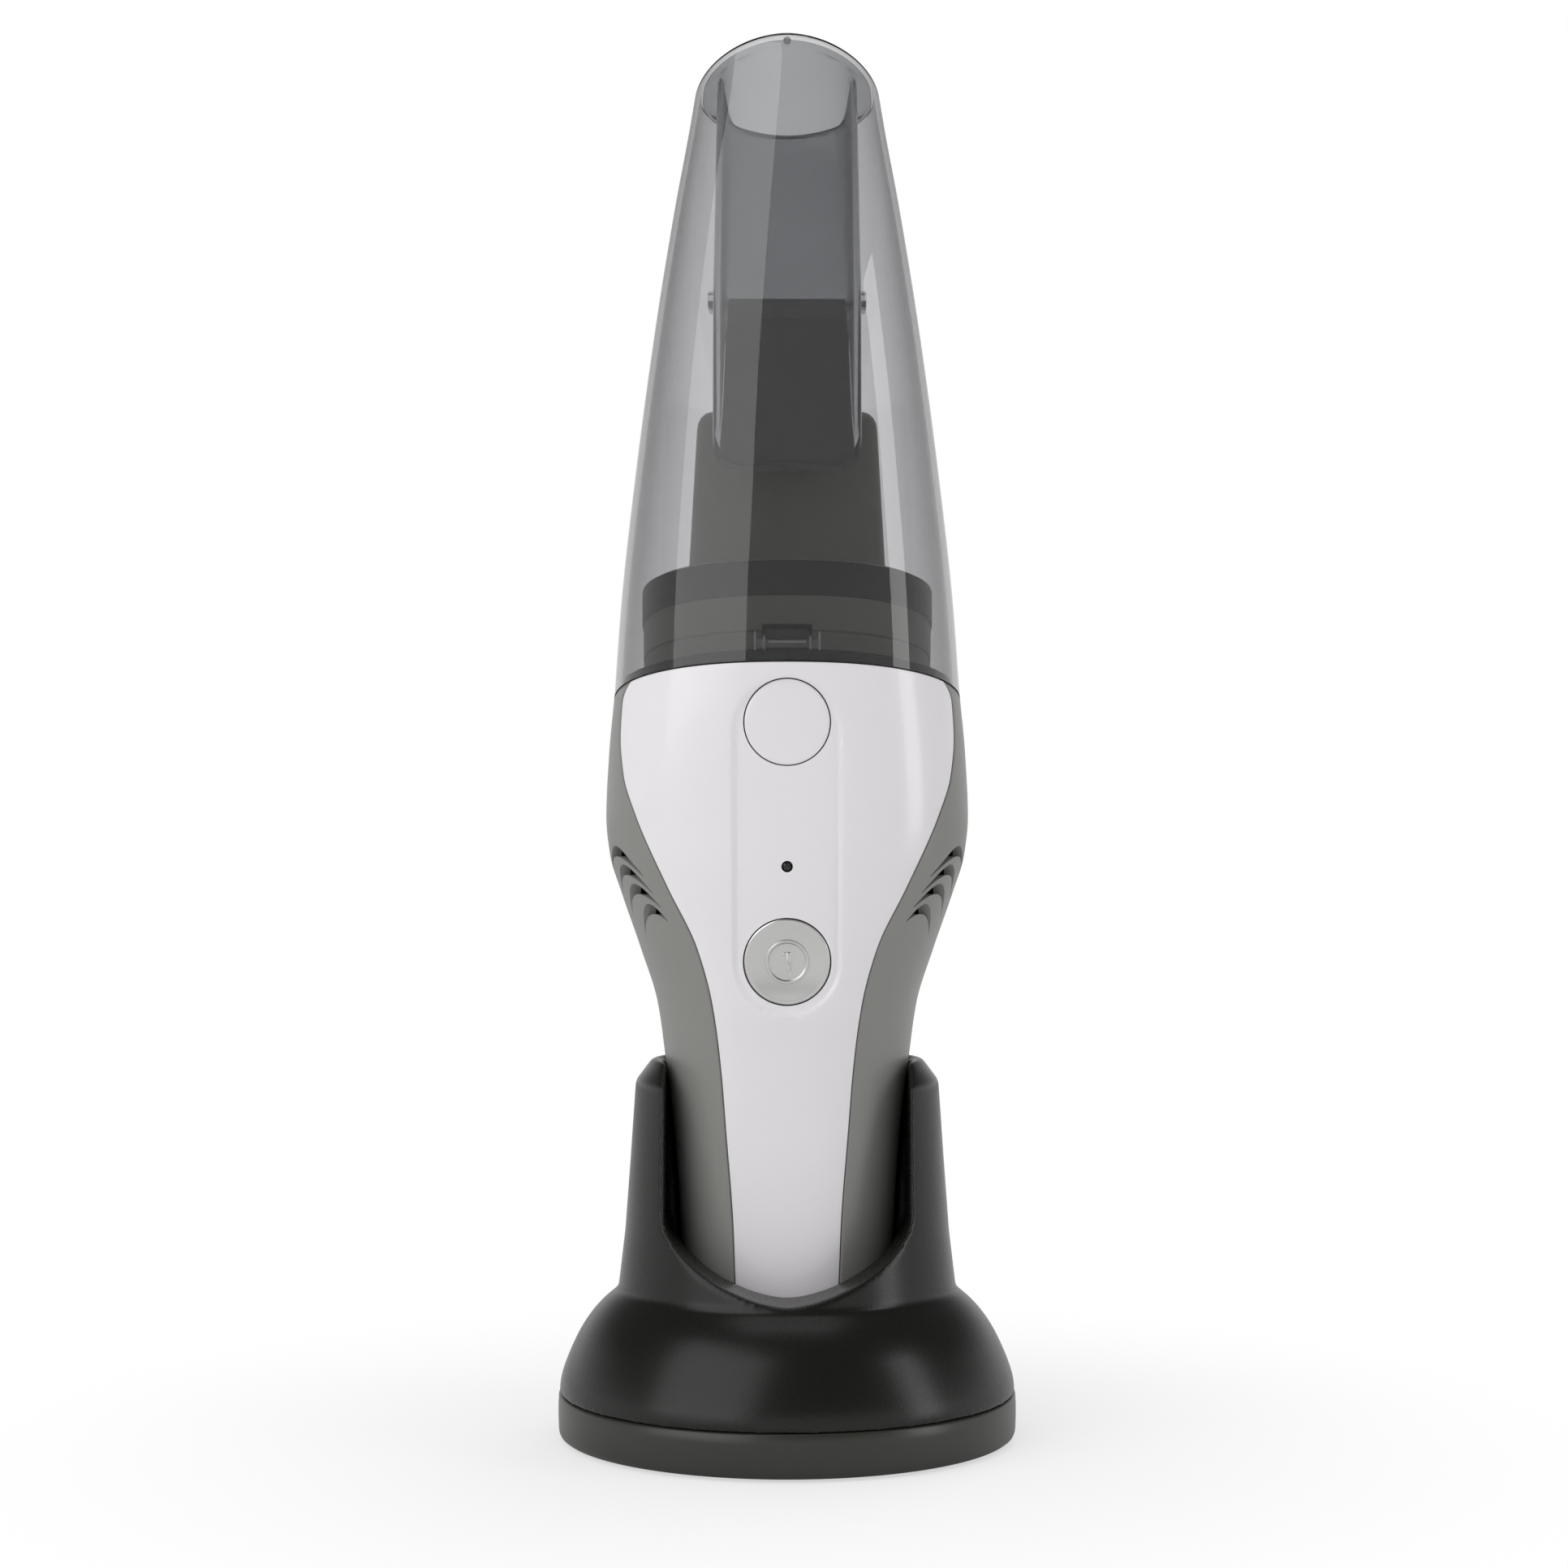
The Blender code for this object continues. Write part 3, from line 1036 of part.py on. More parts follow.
def build_stand():
    """Base tray, domed cradle, non-slip ring, screws, DC inlet, contact block and charging pins."""
    inner = STAND_RADIUS - STAND_WALL
    floor_top = BASE_BOTTOM + BASE_FLOOR
    groove_top = BASE_BOTTOM + RING_SINK + GAP
    base = turned("stand_base", [
        (0.0, floor_top), (inner, floor_top), (inner, BAND_TOP), (STAND_RADIUS - 0.6 * MM, BAND_TOP),
        (STAND_RADIUS - 0.1 * MM, BAND_TOP - 0.6 * MM), (STAND_RADIUS, BAND_TOP / 2),
        (STAND_RADIUS - 0.1 * MM, BASE_BOTTOM + 1.2 * MM), (STAND_RADIUS - 1.2 * MM, BASE_BOTTOM),
        (RING_OUTER + GAP, BASE_BOTTOM), (RING_OUTER + GAP, groove_top), (RING_INNER - GAP, groove_top),
        (RING_INNER - GAP, BASE_BOTTOM), (0.0, BASE_BOTTOM)], "black_satin", STAND_STEPS)
    turned("non_slip_ring", [(RING_INNER, BASE_BOTTOM + RING_SINK), (RING_OUTER, BASE_BOTTOM + RING_SINK),
                             (RING_OUTER, 0.0), (RING_INNER, 0.0)], "black_rubber", STAND_STEPS, closed=True)

    dome = [(CRADLE_FOOT_RADIUS + (STAND_RADIUS - CRADLE_FOOT_RADIUS) * out,
             BAND_TOP + (CRADLE_FOOT_HEIGHT - BAND_TOP) * up) for out, up in DOME_SHARES]
    rim = (STAND_RADIUS - GAP, BAND_TOP + GAP)
    profile = [(0.0, CRADLE_TOP), (CRADLE_TOP_FLAT, CRADLE_TOP), (CRADLE_TOP_RADIUS, CRADLE_SHOULDER_HEIGHT),
               (CRADLE_FOOT_RADIUS, CRADLE_FOOT_HEIGHT), *dome, rim]
    cradle = turned("stand_cradle", profile + [(0.0, rim[1])], "black_satin", STAND_STEPS)
    pocket_profile = [(0.0, POCKET_TOP), (CRADLE_TOP_RADIUS - STAND_WALL, POCKET_TOP),
                      (CRADLE_FOOT_RADIUS - STAND_WALL, CRADLE_FOOT_HEIGHT - STAND_WALL)]
    pocket_profile += [(radius - STAND_WALL, height - STAND_WALL) for radius, height in dome[1:]]
    pocket_profile += [(rim[0] - STAND_WALL, rim[1] - 3 * MM), (0.0, rim[1] - 3 * MM)]
    pocket = turned("cut_pocket", pocket_profile, steps=STAND_STEPS)
    pocket.rotation_euler.z = pi / STAND_STEPS
    thick_core = add_object("keep_socket_wall", loft("keep_socket_wall", casing_rows(
        CRADLE_TOP + CASING_CLEAR + STAND_WALL, SOCKET_CLEARANCE + STAND_WALL)))
    thick_scoop = add_object("keep_scoop_wall", prism("keep_scoop_wall", scoop_outline(STAND_WALL), CUT_FRONT,
                                                      SCOOP_REACH + STAND_WALL, "Y"))
    cut_by(pocket, thick_core, thick_scoop)
    socket = add_object("cut_socket", loft("cut_socket", casing_rows(CRADLE_TOP + CASING_CLEAR, SOCKET_CLEARANCE)))
    scoop = add_object("cut_scoop", prism("cut_scoop", scoop_outline(), CUT_FRONT, SCOOP_REACH, "Y"))
    cut_by(cradle, pocket, socket, scoop)

    floor = HANDLE_BOTTOM - SOCKET_CLEARANCE
    under_floor = floor - STAND_WALL
    well = add_object("cut_block_well", box(
        "cut_block_well", (-BLOCK_HALF_X - GAP, BATTERY_Y - BLOCK_HALF_Y - GAP, BLOCK_BOTTOM - 5 * MM),
        (BLOCK_HALF_X + GAP, BATTERY_Y + BLOCK_HALF_Y + GAP, floor + 5 * MM)))
    cut_by(cradle, well)

    for i in range(3):
        turn = radians(-90 + 120 * i)
        place = (STAND_SCREW_CIRCLE * cos(turn), STAND_SCREW_CIRCLE * sin(turn), 0)
        tag = str(i + 1)
        boss = add_object("stand_boss_" + tag, cylinder("stand_boss_" + tag, STAND_BOSS_RADIUS, floor_top + GAP,
                                                        STAND_BOSS_TOP, 16), at=place)
        pilot = add_object("cut_pilot_" + tag, cylinder("cut_pilot_" + tag, STAND_SCREW_RADIUS + GAP, -5 * MM,
                                                        STAND_SCREW_TOP + 1.5 * MM, 12), at=place)
        sink = add_object("cut_sink_" + tag, cylinder("cut_sink_" + tag, STAND_SCREW_HEAD + GAP, -5 * MM,
                                                      BASE_BOTTOM + BASE_FLOOR / 2, 16), at=place)
        joined_with(cradle, boss)
        cut_by(cradle, pilot)
        cut_by(base, pilot, sink)
        name = "stand_screw_" + tag
        head_top = BASE_BOTTOM + BASE_FLOOR / 2 - GAP
        screw = add_object(name, cylinder(name, STAND_SCREW_HEAD, BASE_BOTTOM, head_top, 16), "bright_steel",
                           at=place)
        shank = add_object("shank_" + name, cylinder("shank_" + name, STAND_SCREW_RADIUS, BASE_BOTTOM + 0.4 * MM,
                                                     STAND_SCREW_TOP, 12), at=place)
        joined_with(screw, shank)

    notch = add_object("cut_jack_notch", box("cut_jack_notch", (-JACK_HALF_WIDTH - GAP, JACK_FRONT, floor_top + 0.1 * MM),
                                             (JACK_HALF_WIDTH + GAP, STAND_RADIUS + 5 * MM, BAND_TOP + 1 * MM)))
    cut_by(base, notch)
    jack = add_object("dc_socket", box("dc_socket", (-JACK_HALF_WIDTH, JACK_FRONT, floor_top + GAP),
                                       (JACK_HALF_WIDTH, JACK_BACK, JACK_TOP)), "black_satin")
    bore = add_object("cut_jack_bore", cylinder("cut_jack_bore", JACK_BORE, JACK_BACK - JACK_BORE_DEPTH,
                                                JACK_BACK + 5 * MM, 16, ALONG_Y),
                      at=(0, 0, (floor_top + GAP + JACK_TOP) / 2))
    cut_by(jack, bore)

    block = add_object("contact_block", box(
        "contact_block", (-BLOCK_HALF_X, BATTERY_Y - BLOCK_HALF_Y, BLOCK_BOTTOM),
        (BLOCK_HALF_X, BATTERY_Y + BLOCK_HALF_Y, floor - GAP)), "black_satin")
    flange = add_object("block_flange", box(
        "block_flange", (-BLOCK_HALF_X - BLOCK_FLANGE, BATTERY_Y - BLOCK_HALF_Y - BLOCK_FLANGE, BLOCK_BOTTOM + 1 * MM),
        (BLOCK_HALF_X + BLOCK_FLANGE, BATTERY_Y + BLOCK_HALF_Y + BLOCK_FLANGE, under_floor - GAP)))
    joined_with(block, flange)
    for side, sign in (("left", -1), ("right", 1)):
        place = (sign * CONTACT_X, BATTERY_Y, 0)
        label = "cut_pin_" + side
        cut_by(block, add_object(label, cylinder(label, PIN_RADIUS + GAP, BLOCK_BOTTOM - 5 * MM,
                                                 HANDLE_BOTTOM + 5 * MM, 12), at=place))
        name = "charging_pin_" + side
        add_object(name, cylinder(name, PIN_RADIUS, PIN_BOTTOM, HANDLE_BOTTOM - GAP, 12, bevel=0.3 * MM), "brass",
                   at=place)


clear_scene()
PARTS = make_collection(OBJECT_NAME)
CUTTERS = make_collection(OBJECT_NAME + "_cutters")
build_stand()
build_casing()
build_buttons()
build_bulkhead()
build_fan()
build_battery()
build_cup()
build_filter()
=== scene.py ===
"""Looks of a cordless handheld vacuum that stands nose up in its round charging stand.

Lengths are metres and +Z is up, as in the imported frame. The casing, the clear dust cup and the
filter are lofts through a few sections; a section is a superellipse in a plane that may slant from
front to back. The buttons face -Y.
"""
import logging
from bisect import bisect_right
from collections.abc import Callable, Iterable, Sequence
from dataclasses import dataclass, replace
from enum import Enum
from math import acos, asin, atan2, cos, hypot, pi, radians, sin, sqrt

import bmesh
import bpy
from mathutils import Matrix, Vector


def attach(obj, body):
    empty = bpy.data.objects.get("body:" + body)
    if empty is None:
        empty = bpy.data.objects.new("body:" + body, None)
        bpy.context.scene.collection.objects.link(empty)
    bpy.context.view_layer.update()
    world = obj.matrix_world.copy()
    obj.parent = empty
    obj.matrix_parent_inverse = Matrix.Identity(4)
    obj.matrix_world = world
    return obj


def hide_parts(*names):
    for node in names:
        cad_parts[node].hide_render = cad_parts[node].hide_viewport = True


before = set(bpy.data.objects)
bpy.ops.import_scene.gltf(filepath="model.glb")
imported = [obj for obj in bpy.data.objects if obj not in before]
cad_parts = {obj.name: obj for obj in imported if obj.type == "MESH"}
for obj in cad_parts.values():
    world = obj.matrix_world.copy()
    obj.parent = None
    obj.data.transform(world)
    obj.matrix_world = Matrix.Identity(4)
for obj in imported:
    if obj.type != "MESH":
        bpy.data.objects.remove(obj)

LOG = logging.getLogger("handheld_vacuum")
MM = 0.001
GAP = 0.3 * MM
SHARP = radians(38)
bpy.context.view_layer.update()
Place = Callable[[float, float], Vector]
Item = bpy.types.Object
Shape = bmesh.types.BMesh
Socket = bpy.types.NodeSocket
Tree = bpy.types.NodeTree


# ---------------------------------------------------------------- node tools

def computed(tree: Tree, operation: str, first: Socket,
         second: Socket | float | None = None) -> Socket:
    """The result of a Math node whose second value is a socket, a number or unused."""
    node = tree.nodes.new("ShaderNodeMath")
    node.operation = operation
    tree.links.new(first, node.inputs[0])
    if isinstance(second, float):
        node.inputs[1].default_value = second
    elif second is not None:
        tree.links.new(second, node.inputs[1])
    return node.outputs["Value"]


def ranged(tree: Tree, value: Socket, to: tuple[float, float],
           start: tuple[float, float] = (0.0, 1.0), kind: str = "LINEAR") -> Socket:
    """A value carried from one range to another by a Map Range node."""
    node = tree.nodes.new("ShaderNodeMapRange")
    node.interpolation_type = kind
    node.inputs["From Min"].default_value, node.inputs["From Max"].default_value = start
    node.inputs["To Min"].default_value, node.inputs["To Max"].default_value = to
    tree.links.new(value, node.inputs["Value"])
    return node.outputs["Result"]


def mixed(tree: Tree, share: Socket, first: Socket,
          second: Socket) -> Socket:
    """Two shaders mixed; a share of 1 shows only the second."""
    node = tree.nodes.new("ShaderNodeMixShader")
    for socket, source in zip(node.inputs, (share, first, second)):
        tree.links.new(source, socket)
    return node.outputs["Shader"]


# ---------------------------------------------------------------- finishes

class Pattern(Enum):
    """How a finish's colour runs over a surface."""

    MOTTLE = "even moulded colour with faint clouding"
    BRUSHED = "fine lines along one axis"
    WEAVE = "crossed threads"
    TRACES = "printed circuit traces"


@dataclass(frozen=True)
class Finish:
    """One finish: two near colours that a pattern runs between, a range of roughness, and a grain."""

    name: str
    deep: tuple[float, float, float]
    pale: tuple[float, float, float]
    roughness: tuple[float, float]
    pattern: Pattern = Pattern.MOTTLE
    spread: float = 18.0
    grain: float = 900.0
    relief: float = 0.02 * MM
    metallic: float = 0.0
    specular: float = 0.5
    coat: float = 0.0
    transmission: float = 0.0
    ior: float = 1.49
    # edge: colour at a slant; on clear walls partly real tint, partly painted shade at the silhouettes
    edge: tuple[float, float, float] | None = None
    slant_shade_power: float = 1.35

    def material(self) -> bpy.types.Material:
        """The finish as a node material, made once and then shared."""
        found = bpy.data.materials.get(self.name + "_finish")
        return found or self._build()

    def _build(self) -> bpy.types.Material:
        """Wire pattern, roughness and grain into a Principled shader.

        Returns:
            The new material.
        """
        material = bpy.data.materials.new(self.name + "_finish")
        material.use_nodes = True
        tree = material.node_tree
        shader = tree.nodes["Principled BSDF"]
        where = tree.nodes.new("ShaderNodeTexCoord").outputs["Object"]
        blend = tree.nodes.new("ShaderNodeMix")
        blend.data_type = "RGBA"
        blend.inputs[6].default_value = (*self.deep, 1.0)
        blend.inputs[7].default_value = (*self.pale, 1.0)
        tree.links.new(self._pattern(tree, where), blend.inputs[0])
        tree.links.new(self._slant_darkened_with_painted_shade(tree, blend.outputs[2]), shader.inputs["Base Color"])

        grain = tree.nodes.new("ShaderNodeTexNoise")
        grain.inputs["Scale"].default_value = self.grain
        grain.inputs["Detail"].default_value = 3.0
        tree.links.new(where, grain.inputs["Vector"])
        tree.links.new(ranged(tree, grain.outputs["Fac"], self.roughness), shader.inputs["Roughness"])
        bump = tree.nodes.new("ShaderNodeBump")
        bump.inputs["Strength"].default_value = 0.5
        bump.inputs["Distance"].default_value = self.relief
        tree.links.new(grain.outputs["Fac"], bump.inputs["Height"])
        tree.links.new(bump.outputs["Normal"], shader.inputs["Normal"])

        for name, value in (("Metallic", self.metallic), ("Specular IOR Level", self.specular),
                            ("Coat Weight", self.coat), ("Coat Roughness", 0.08),
                            ("Transmission Weight", self.transmission), ("IOR", self.ior)):
            shader.inputs[name].default_value = value
        return material

    def _slant_darkened_with_painted_shade(self, tree: Tree, colour: Socket) -> Socket:
        """Darken a clear wall's colour where it is looked through at a slant: partly the longer path through
        the tinted wall, partly painted shade at the silhouettes that stands in for refraction and reflection.

        Args:
            tree: The material's nodes.
            colour: The colour face on.

        Returns:
            The colour to use.
        """
        if self.edge is None:
            return colour
        facing = tree.nodes.new("ShaderNodeLayerWeight")
        facing.inputs["Blend"].default_value = 0.5
        blend = tree.nodes.new("ShaderNodeMix")
        blend.data_type = "RGBA"
        blend.inputs[7].default_value = (*self.edge, 1.0)
        tree.links.new(computed(tree, "POWER", facing.outputs["Facing"], self.slant_shade_power), blend.inputs[0])
        tree.links.new(colour, blend.inputs[6])
        return blend.outputs[2]

    def _pattern(self, tree: Tree, where: Socket) -> Socket:
        """The socket that says how far a point lies from the deep to the pale colour.

        Args:
            tree: The material's nodes.
            where: Object coordinates.

        Returns:
            A value socket from 0 to 1.
        """
        turn = tree.nodes.new("ShaderNodeMapping")
        tree.links.new(where, turn.inputs["Vector"])
        if self.pattern is Pattern.WEAVE:
            bands = []
            for axis in ("X", "Z"):
                wave = tree.nodes.new("ShaderNodeTexWave")
                wave.bands_direction = axis
                wave.inputs["Scale"].default_value = self.spread
                wave.inputs["Distortion"].default_value = 0.6
                tree.links.new(turn.outputs["Vector"], wave.inputs["Vector"])
                bands.append(wave.outputs["Fac"])
            return computed(tree, "MULTIPLY", *bands)
        if self.pattern is Pattern.TRACES:
            brick = tree.nodes.new("ShaderNodeTexBrick")
            brick.inputs["Scale"].default_value = self.spread
            brick.inputs["Mortar Size"].default_value = 0.03
            turn.inputs["Rotation"].default_value = (pi / 2, 0.0, 0.0)
            tree.links.new(turn.outputs["Vector"], brick.inputs["Vector"])
            return brick.outputs["Fac"]
        if self.pattern is Pattern.BRUSHED:
            turn.inputs["Scale"].default_value = (1.0, 1.0, 0.04)
        cloud = tree.nodes.new("ShaderNodeTexNoise")
        cloud.inputs["Scale"].default_value = self.spread
        cloud.inputs["Detail"].default_value = 2.0
        tree.links.new(turn.outputs["Vector"], cloud.inputs["Vector"])
        return cloud.outputs["Fac"]


WHITE_GLOSS = Finish("white_gloss", (0.76, 0.735, 0.765), (0.80, 0.775, 0.80), (0.20, 0.27),
                     specular=0.45, coat=0.25)
GREY_SATIN = Finish("grey_satin", (0.205, 0.205, 0.193), (0.24, 0.24, 0.228), (0.34, 0.42), specular=0.45,
                    relief=0.03 * MM)
BLACK_SATIN = Finish("black_satin", (0.0065, 0.0062, 0.0056), (0.0095, 0.009, 0.008), (0.24, 0.32),
                     specular=0.34)
# The stand's black satin made lighter for the base band: painted sheen.
BAND_PAINTED_SHEEN = Finish("band_painted_sheen", (0.020, 0.0195, 0.016), (0.029, 0.028, 0.023), (0.28, 0.36))
BLACK_PLASTIC = Finish("black_plastic", (0.014, 0.014, 0.013), (0.022, 0.022, 0.02), (0.42, 0.55),
                       relief=0.04 * MM, specular=0.25)
# Clear cup plastic; its edge colour is painted shade that darkens the silhouettes.
SMOKY_CLEAR = Finish("smoky_clear", (0.68, 0.68, 0.69), (0.72, 0.72, 0.73), (0.01, 0.03), transmission=1.0,
                     relief=0.0, specular=0.05, edge=(0.015, 0.015, 0.018))
# A darker copy of the clear cup plastic: painted shade for the duct inside the cup and the gate mark.
SMOKY_PAINTED_SHADE = replace(SMOKY_CLEAR, name="smoky_painted_shade", deep=(0.47, 0.48, 0.49), pale=(0.53, 0.54, 0.55))
# Pale grey for the clear bracket ribs: painted highlight.
PAINTED_HIGHLIGHT_LINE = Finish("pale_painted_highlight", (0.30, 0.30, 0.29), (0.42, 0.42, 0.41), (0.25, 0.35))
BLACK_RUBBER = Finish("black_rubber", (0.008, 0.009, 0.010), (0.014, 0.015, 0.017), (0.5, 0.7),
                      relief=0.05 * MM, specular=0.2)
SILVER_PAINT = Finish("silver_paint", (0.56, 0.56, 0.55), (0.64, 0.64, 0.63), (0.17, 0.23), metallic=0.85,
                      grain=2500.0)
OLIVE_PLASTIC = Finish("olive_plastic", (0.105, 0.109, 0.090), (0.138, 0.142, 0.118), (0.45, 0.6),
                       relief=0.05 * MM, specular=0.35)
FILTER_CLOTH = Finish("filter_cloth", (0.30, 0.29, 0.26), (0.52, 0.51, 0.46), (0.85, 0.95),
                      Pattern.WEAVE, 900.0, relief=0.15 * MM)
BRIGHT_STEEL = Finish("bright_steel", (0.50, 0.50, 0.50), (0.66, 0.66, 0.66), (0.22, 0.34),
                      Pattern.BRUSHED, 700.0, metallic=1.0)
BRASS = Finish("brass", (0.68, 0.50, 0.20), (0.80, 0.62, 0.30), (0.24, 0.36),
               Pattern.BRUSHED, 500.0, metallic=1.0)
GREEN_BOARD = Finish("green_board", (0.012, 0.12, 0.05), (0.03, 0.22, 0.10), (0.35, 0.5), Pattern.TRACES, 90.0)
CELL_SLEEVE = Finish("cell_sleeve", (0.035, 0.16, 0.40), (0.06, 0.22, 0.50), (0.32, 0.42), coat=0.3)
DARK_LENS = Finish("dark_lens", (0.006, 0.006, 0.007), (0.012, 0.012, 0.014), (0.08, 0.14))


# ---------------------------------------------------------------- sections and curves

class Stations:
    """Smooth columns of numbers through a table, with no overshoot between its rows."""

    def __init__(self, lengths: int, rows: Sequence[Sequence[float]]) -> None:
        """Read a table whose first column rises.

        Args:
            lengths: How many of the values, from the first, are lengths.
            rows: Place and values of each station; places and lengths are in millimetres.
        """
        self.places = [row[0] * MM for row in rows]
        scales = [MM if i < lengths else 1.0 for i in range(len(rows[0]) - 1)]
        self.columns = [[row[i + 1] * scale for row in rows] for i, scale in enumerate(scales)]
        self.slopes = [self._slopes(values) for values in self.columns]

    def _slopes(self, values: Sequence[float]) -> list[float]:
        """Slope of one column at each station."""
        rises = [(b - a) / (q - p) for a, b, p, q in zip(values, values[1:], self.places, self.places[1:])]
        inner = [2 * a * b / (a + b) if a * b > 0 else 0.0 for a, b in zip(rises, rises[1:])]
        return [rises[0], *inner, rises[-1]]

    def at(self, place: float) -> list[float]:
        """Every column's value at a place."""
        i = min(max(bisect_right(self.places, place) - 1, 0), len(self.places) - 2)
        step = self.places[i + 1] - self.places[i]
        t = min(max((place - self.places[i]) / step, 0.0), 1.0)
        a, b = (1 + 2 * t) * (1 - t) ** 2, t * (1 - t) ** 2 * step
        c, d = t * t * (3 - 2 * t), t * t * (t - 1) * step
        return [a * v[i] + b * s[i] + c * v[i + 1] + d * s[i + 1] for v, s in zip(self.columns, self.slopes)]


def eased(value: float) -> float:
    """A step from 0 to 1 that starts and ends gently."""
    t = min(max(value, 0.0), 1.0)
    return t * t * (3 - 2 * t)


@dataclass(frozen=True)
class Section:
    """A superellipse in a plane that slants from front to back; front, middle and back are all y."""

    height: float
    half_width: float
    front: float
    middle: float
    back: float
    slope: float
    power: float

    def place(self, turn: float, inset: float = 0.0) -> Vector:
        """A point of the outline.

        Args:
            turn: Angle from the front through +X.
            inset: How far inside the outline.

        Returns:
            The point.
        """
        across, along = sin(turn), cos(turn)
        across = abs(across) ** (2 / self.power) * (1 if across >= 0 else -1)
        share = abs(along) ** (2 / self.power)
        y = self.middle + ((self.front + inset - self.middle) if along > 0
                           else (self.back - inset - self.middle)) * share
        return Vector(((self.half_width - inset) * across, y, self.height - self.slope * y))

    def turn_at(self, across: float) -> float:
        """The angle, in front, at which the outline lies at that x."""
        return asin(min(abs(across) / self.half_width, 1.0) ** (self.power / 2))

    def front_at(self, across: float, inset: float = 0.0) -> float:
        """The y of the outline's front at that x."""
        share = min(abs(across) / (self.half_width - inset), 1.0)
        return self.middle + (self.front + inset - self.middle) * (1 - share ** self.power) ** (1 / self.power)


@dataclass(frozen=True)
class CasingShape:
    """The hand unit's outer surface, the cover's outline on it and the channel between the buttons."""

    bottom: float = 20.0 * MM
    rounding: float = 5.0 * MM
    joint: float = 213.6 * MM
    joint_slope: float = 0.2017
    slant_start: float = 150.0 * MM
    wall: float = 2.2 * MM
    channel_half_width: float = 15.6 * MM
    channel_low: float = 139.6 * MM
    channel_high: float = 203.4 * MM
    channel_depth: float = 1.0 * MM
    channel_slope: float = 1.3 * MM
    stations: Stations = Stations(3, (
        (25.0, 30.0, 27.0, 20.0), (60.0, 31.0, 28.0, 19.8),
        (90.0, 33.0, 30.4, 19.7), (112.0, 35.7, 34.0, 19.9),
        (126.6, 37.8, 37.6, 23.5), (142.0, 42.6, 40.3, 31.0),
        (158.7, 48.4, 43.0, 38.5), (169.0, 51.6, 44.3, 41.5),
        (180.0, 52.75, 45.2, 43.8), (198.0, 51.9, 46.6, 45.4),
        (213.6, 50.4, 47.6, 46.0)))
    outline: Stations = Stations(1, (
        (24.0, 14.0), (48.0, 14.9), (66.0, 15.6), (91.0, 17.5), (109.0, 18.9),
        (127.0, 21.2), (143.5, 25.6), (160.5, 33.9), (180.7, 43.1), (192.0, 46.7),
        (202.4, 47.7), (213.0, 47.1), (218.5, 44.6), (219.7, 42.1), (240.0, 42.1)))

    def section(self, height: float, grow: float = 0.0) -> Section:
        """The casing's section at a height, with the handle's end rounded."""
        half_width, front, back = self.stations.at(height)
        lift = min(max((height - self.bottom) / self.rounding, 0.0), 1.0)
        tuck = 0.8 * self.rounding * (1 - sin(acos(1 - lift))) - grow
        slope = self.joint_slope * eased((height - self.slant_start) / (self.joint - self.slant_start))
        return Section(height, half_width - tuck, tuck - front, 0.0, back - tuck, slope, 2.3)

    def cover_half_width(self, height: float) -> float:
        """Half width of the cover's outline at a height, seen from the front."""
        low, corner = 24.0 * MM, 3.0 * MM
        if height <= low:
            return 0.0
        short = max(low + corner - height, 0.0) / corner
        return self.outline.at(height)[0] * sqrt(max(1 - short * short, 0.0))

    def cover_edge(self, height: float) -> float:
        """The x at which a section meets the cover's outline."""
        section = self.section(height)
        across = self.cover_half_width(height)
        for _ in range(8):
            y = section.front_at(min(across, section.half_width * 0.999))
            across = self.cover_half_width(height - section.slope * y)
        return across

    def channel_sink(self, across: float, height: float) -> float:
        """How far the channel's floor lies under the casing's surface."""
        nearest = min(max(height, self.channel_low), self.channel_high)
        inside = self.channel_half_width - hypot(across, height - nearest)
        return self.channel_depth * eased(inside / self.channel_slope)

    def face(self, across: float, height: float) -> float:
        """The y of the cover's surface at a point seen from the front."""
        level = height
        for _ in range(4):
            section = self.section(level)
            level = height + section.slope * section.front_at(across)
        return self.section(level).front_at(across, self.channel_sink(across, height))


CASING = CasingShape()


# ---------------------------------------------------------------- mesh tools

def new_verts(made: dict) -> list[bmesh.types.BMVert]:
    """The vertices that a bmesh operator says it made."""
    return [item for item in made["geom"] if isinstance(item, bmesh.types.BMVert)]


def outwards(shape: Shape) -> Shape:
    """The same skin with its faces turned outwards."""
    bmesh.ops.recalc_face_normals(shape, faces=shape.faces[:])
    return shape


def next_ring(shape: Shape, edges: list[bmesh.types.BMEdge]
              ) -> tuple[set[bmesh.types.BMVert], list[bmesh.types.BMEdge]]:
    """A ring's edges extruded once: the new ring's points and its edges."""
    made = bmesh.ops.extrude_edge_only(shape, edges=edges)
    ring = set(new_verts(made))
    return ring, [item for item in made["geom"] if isinstance(item, bmesh.types.BMEdge)
                  and item.verts[0] in ring and item.verts[1] in ring]


def loft(rings: Sequence[tuple[Section, float]], count: int, close_start: bool = False, close_end: bool = False,
         close_round: bool = False) -> Shape:
    """A skin through one ring after another, each extruded from the last.

    Args:
        rings: Section and inset of each ring.
        count: Points in a ring.
        close_start: Fill the first ring.
        close_end: Fill the last ring.
        close_round: Join the last ring to the first.

    Returns:
        The skin, with its faces outwards.
    """
    shape = bmesh.new()
    turn = shape.verts.layers.float.new("turn")
    ring = bmesh.ops.create_circle(shape, cap_ends=False, radius=1.0, segments=count)["verts"]
    for vert in ring:
        vert[turn] = atan2(vert.co.x, -vert.co.y)
        vert.co = rings[0][0].place(vert[turn], rings[0][1])
    first = edges = shape.edges[:]
    for section, inset in rings[1:]:
        ring, edges = next_ring(shape, edges)
        for vert in ring:
            vert.co = section.place(vert[turn], inset)
    if close_start:
        bmesh.ops.edgeloop_fill(shape, edges=first)
    if close_end:
        bmesh.ops.edgeloop_fill(shape, edges=edges)
    if close_round:
        bmesh.ops.bridge_loops(shape, edges=first + edges)
    return outwards(shape)


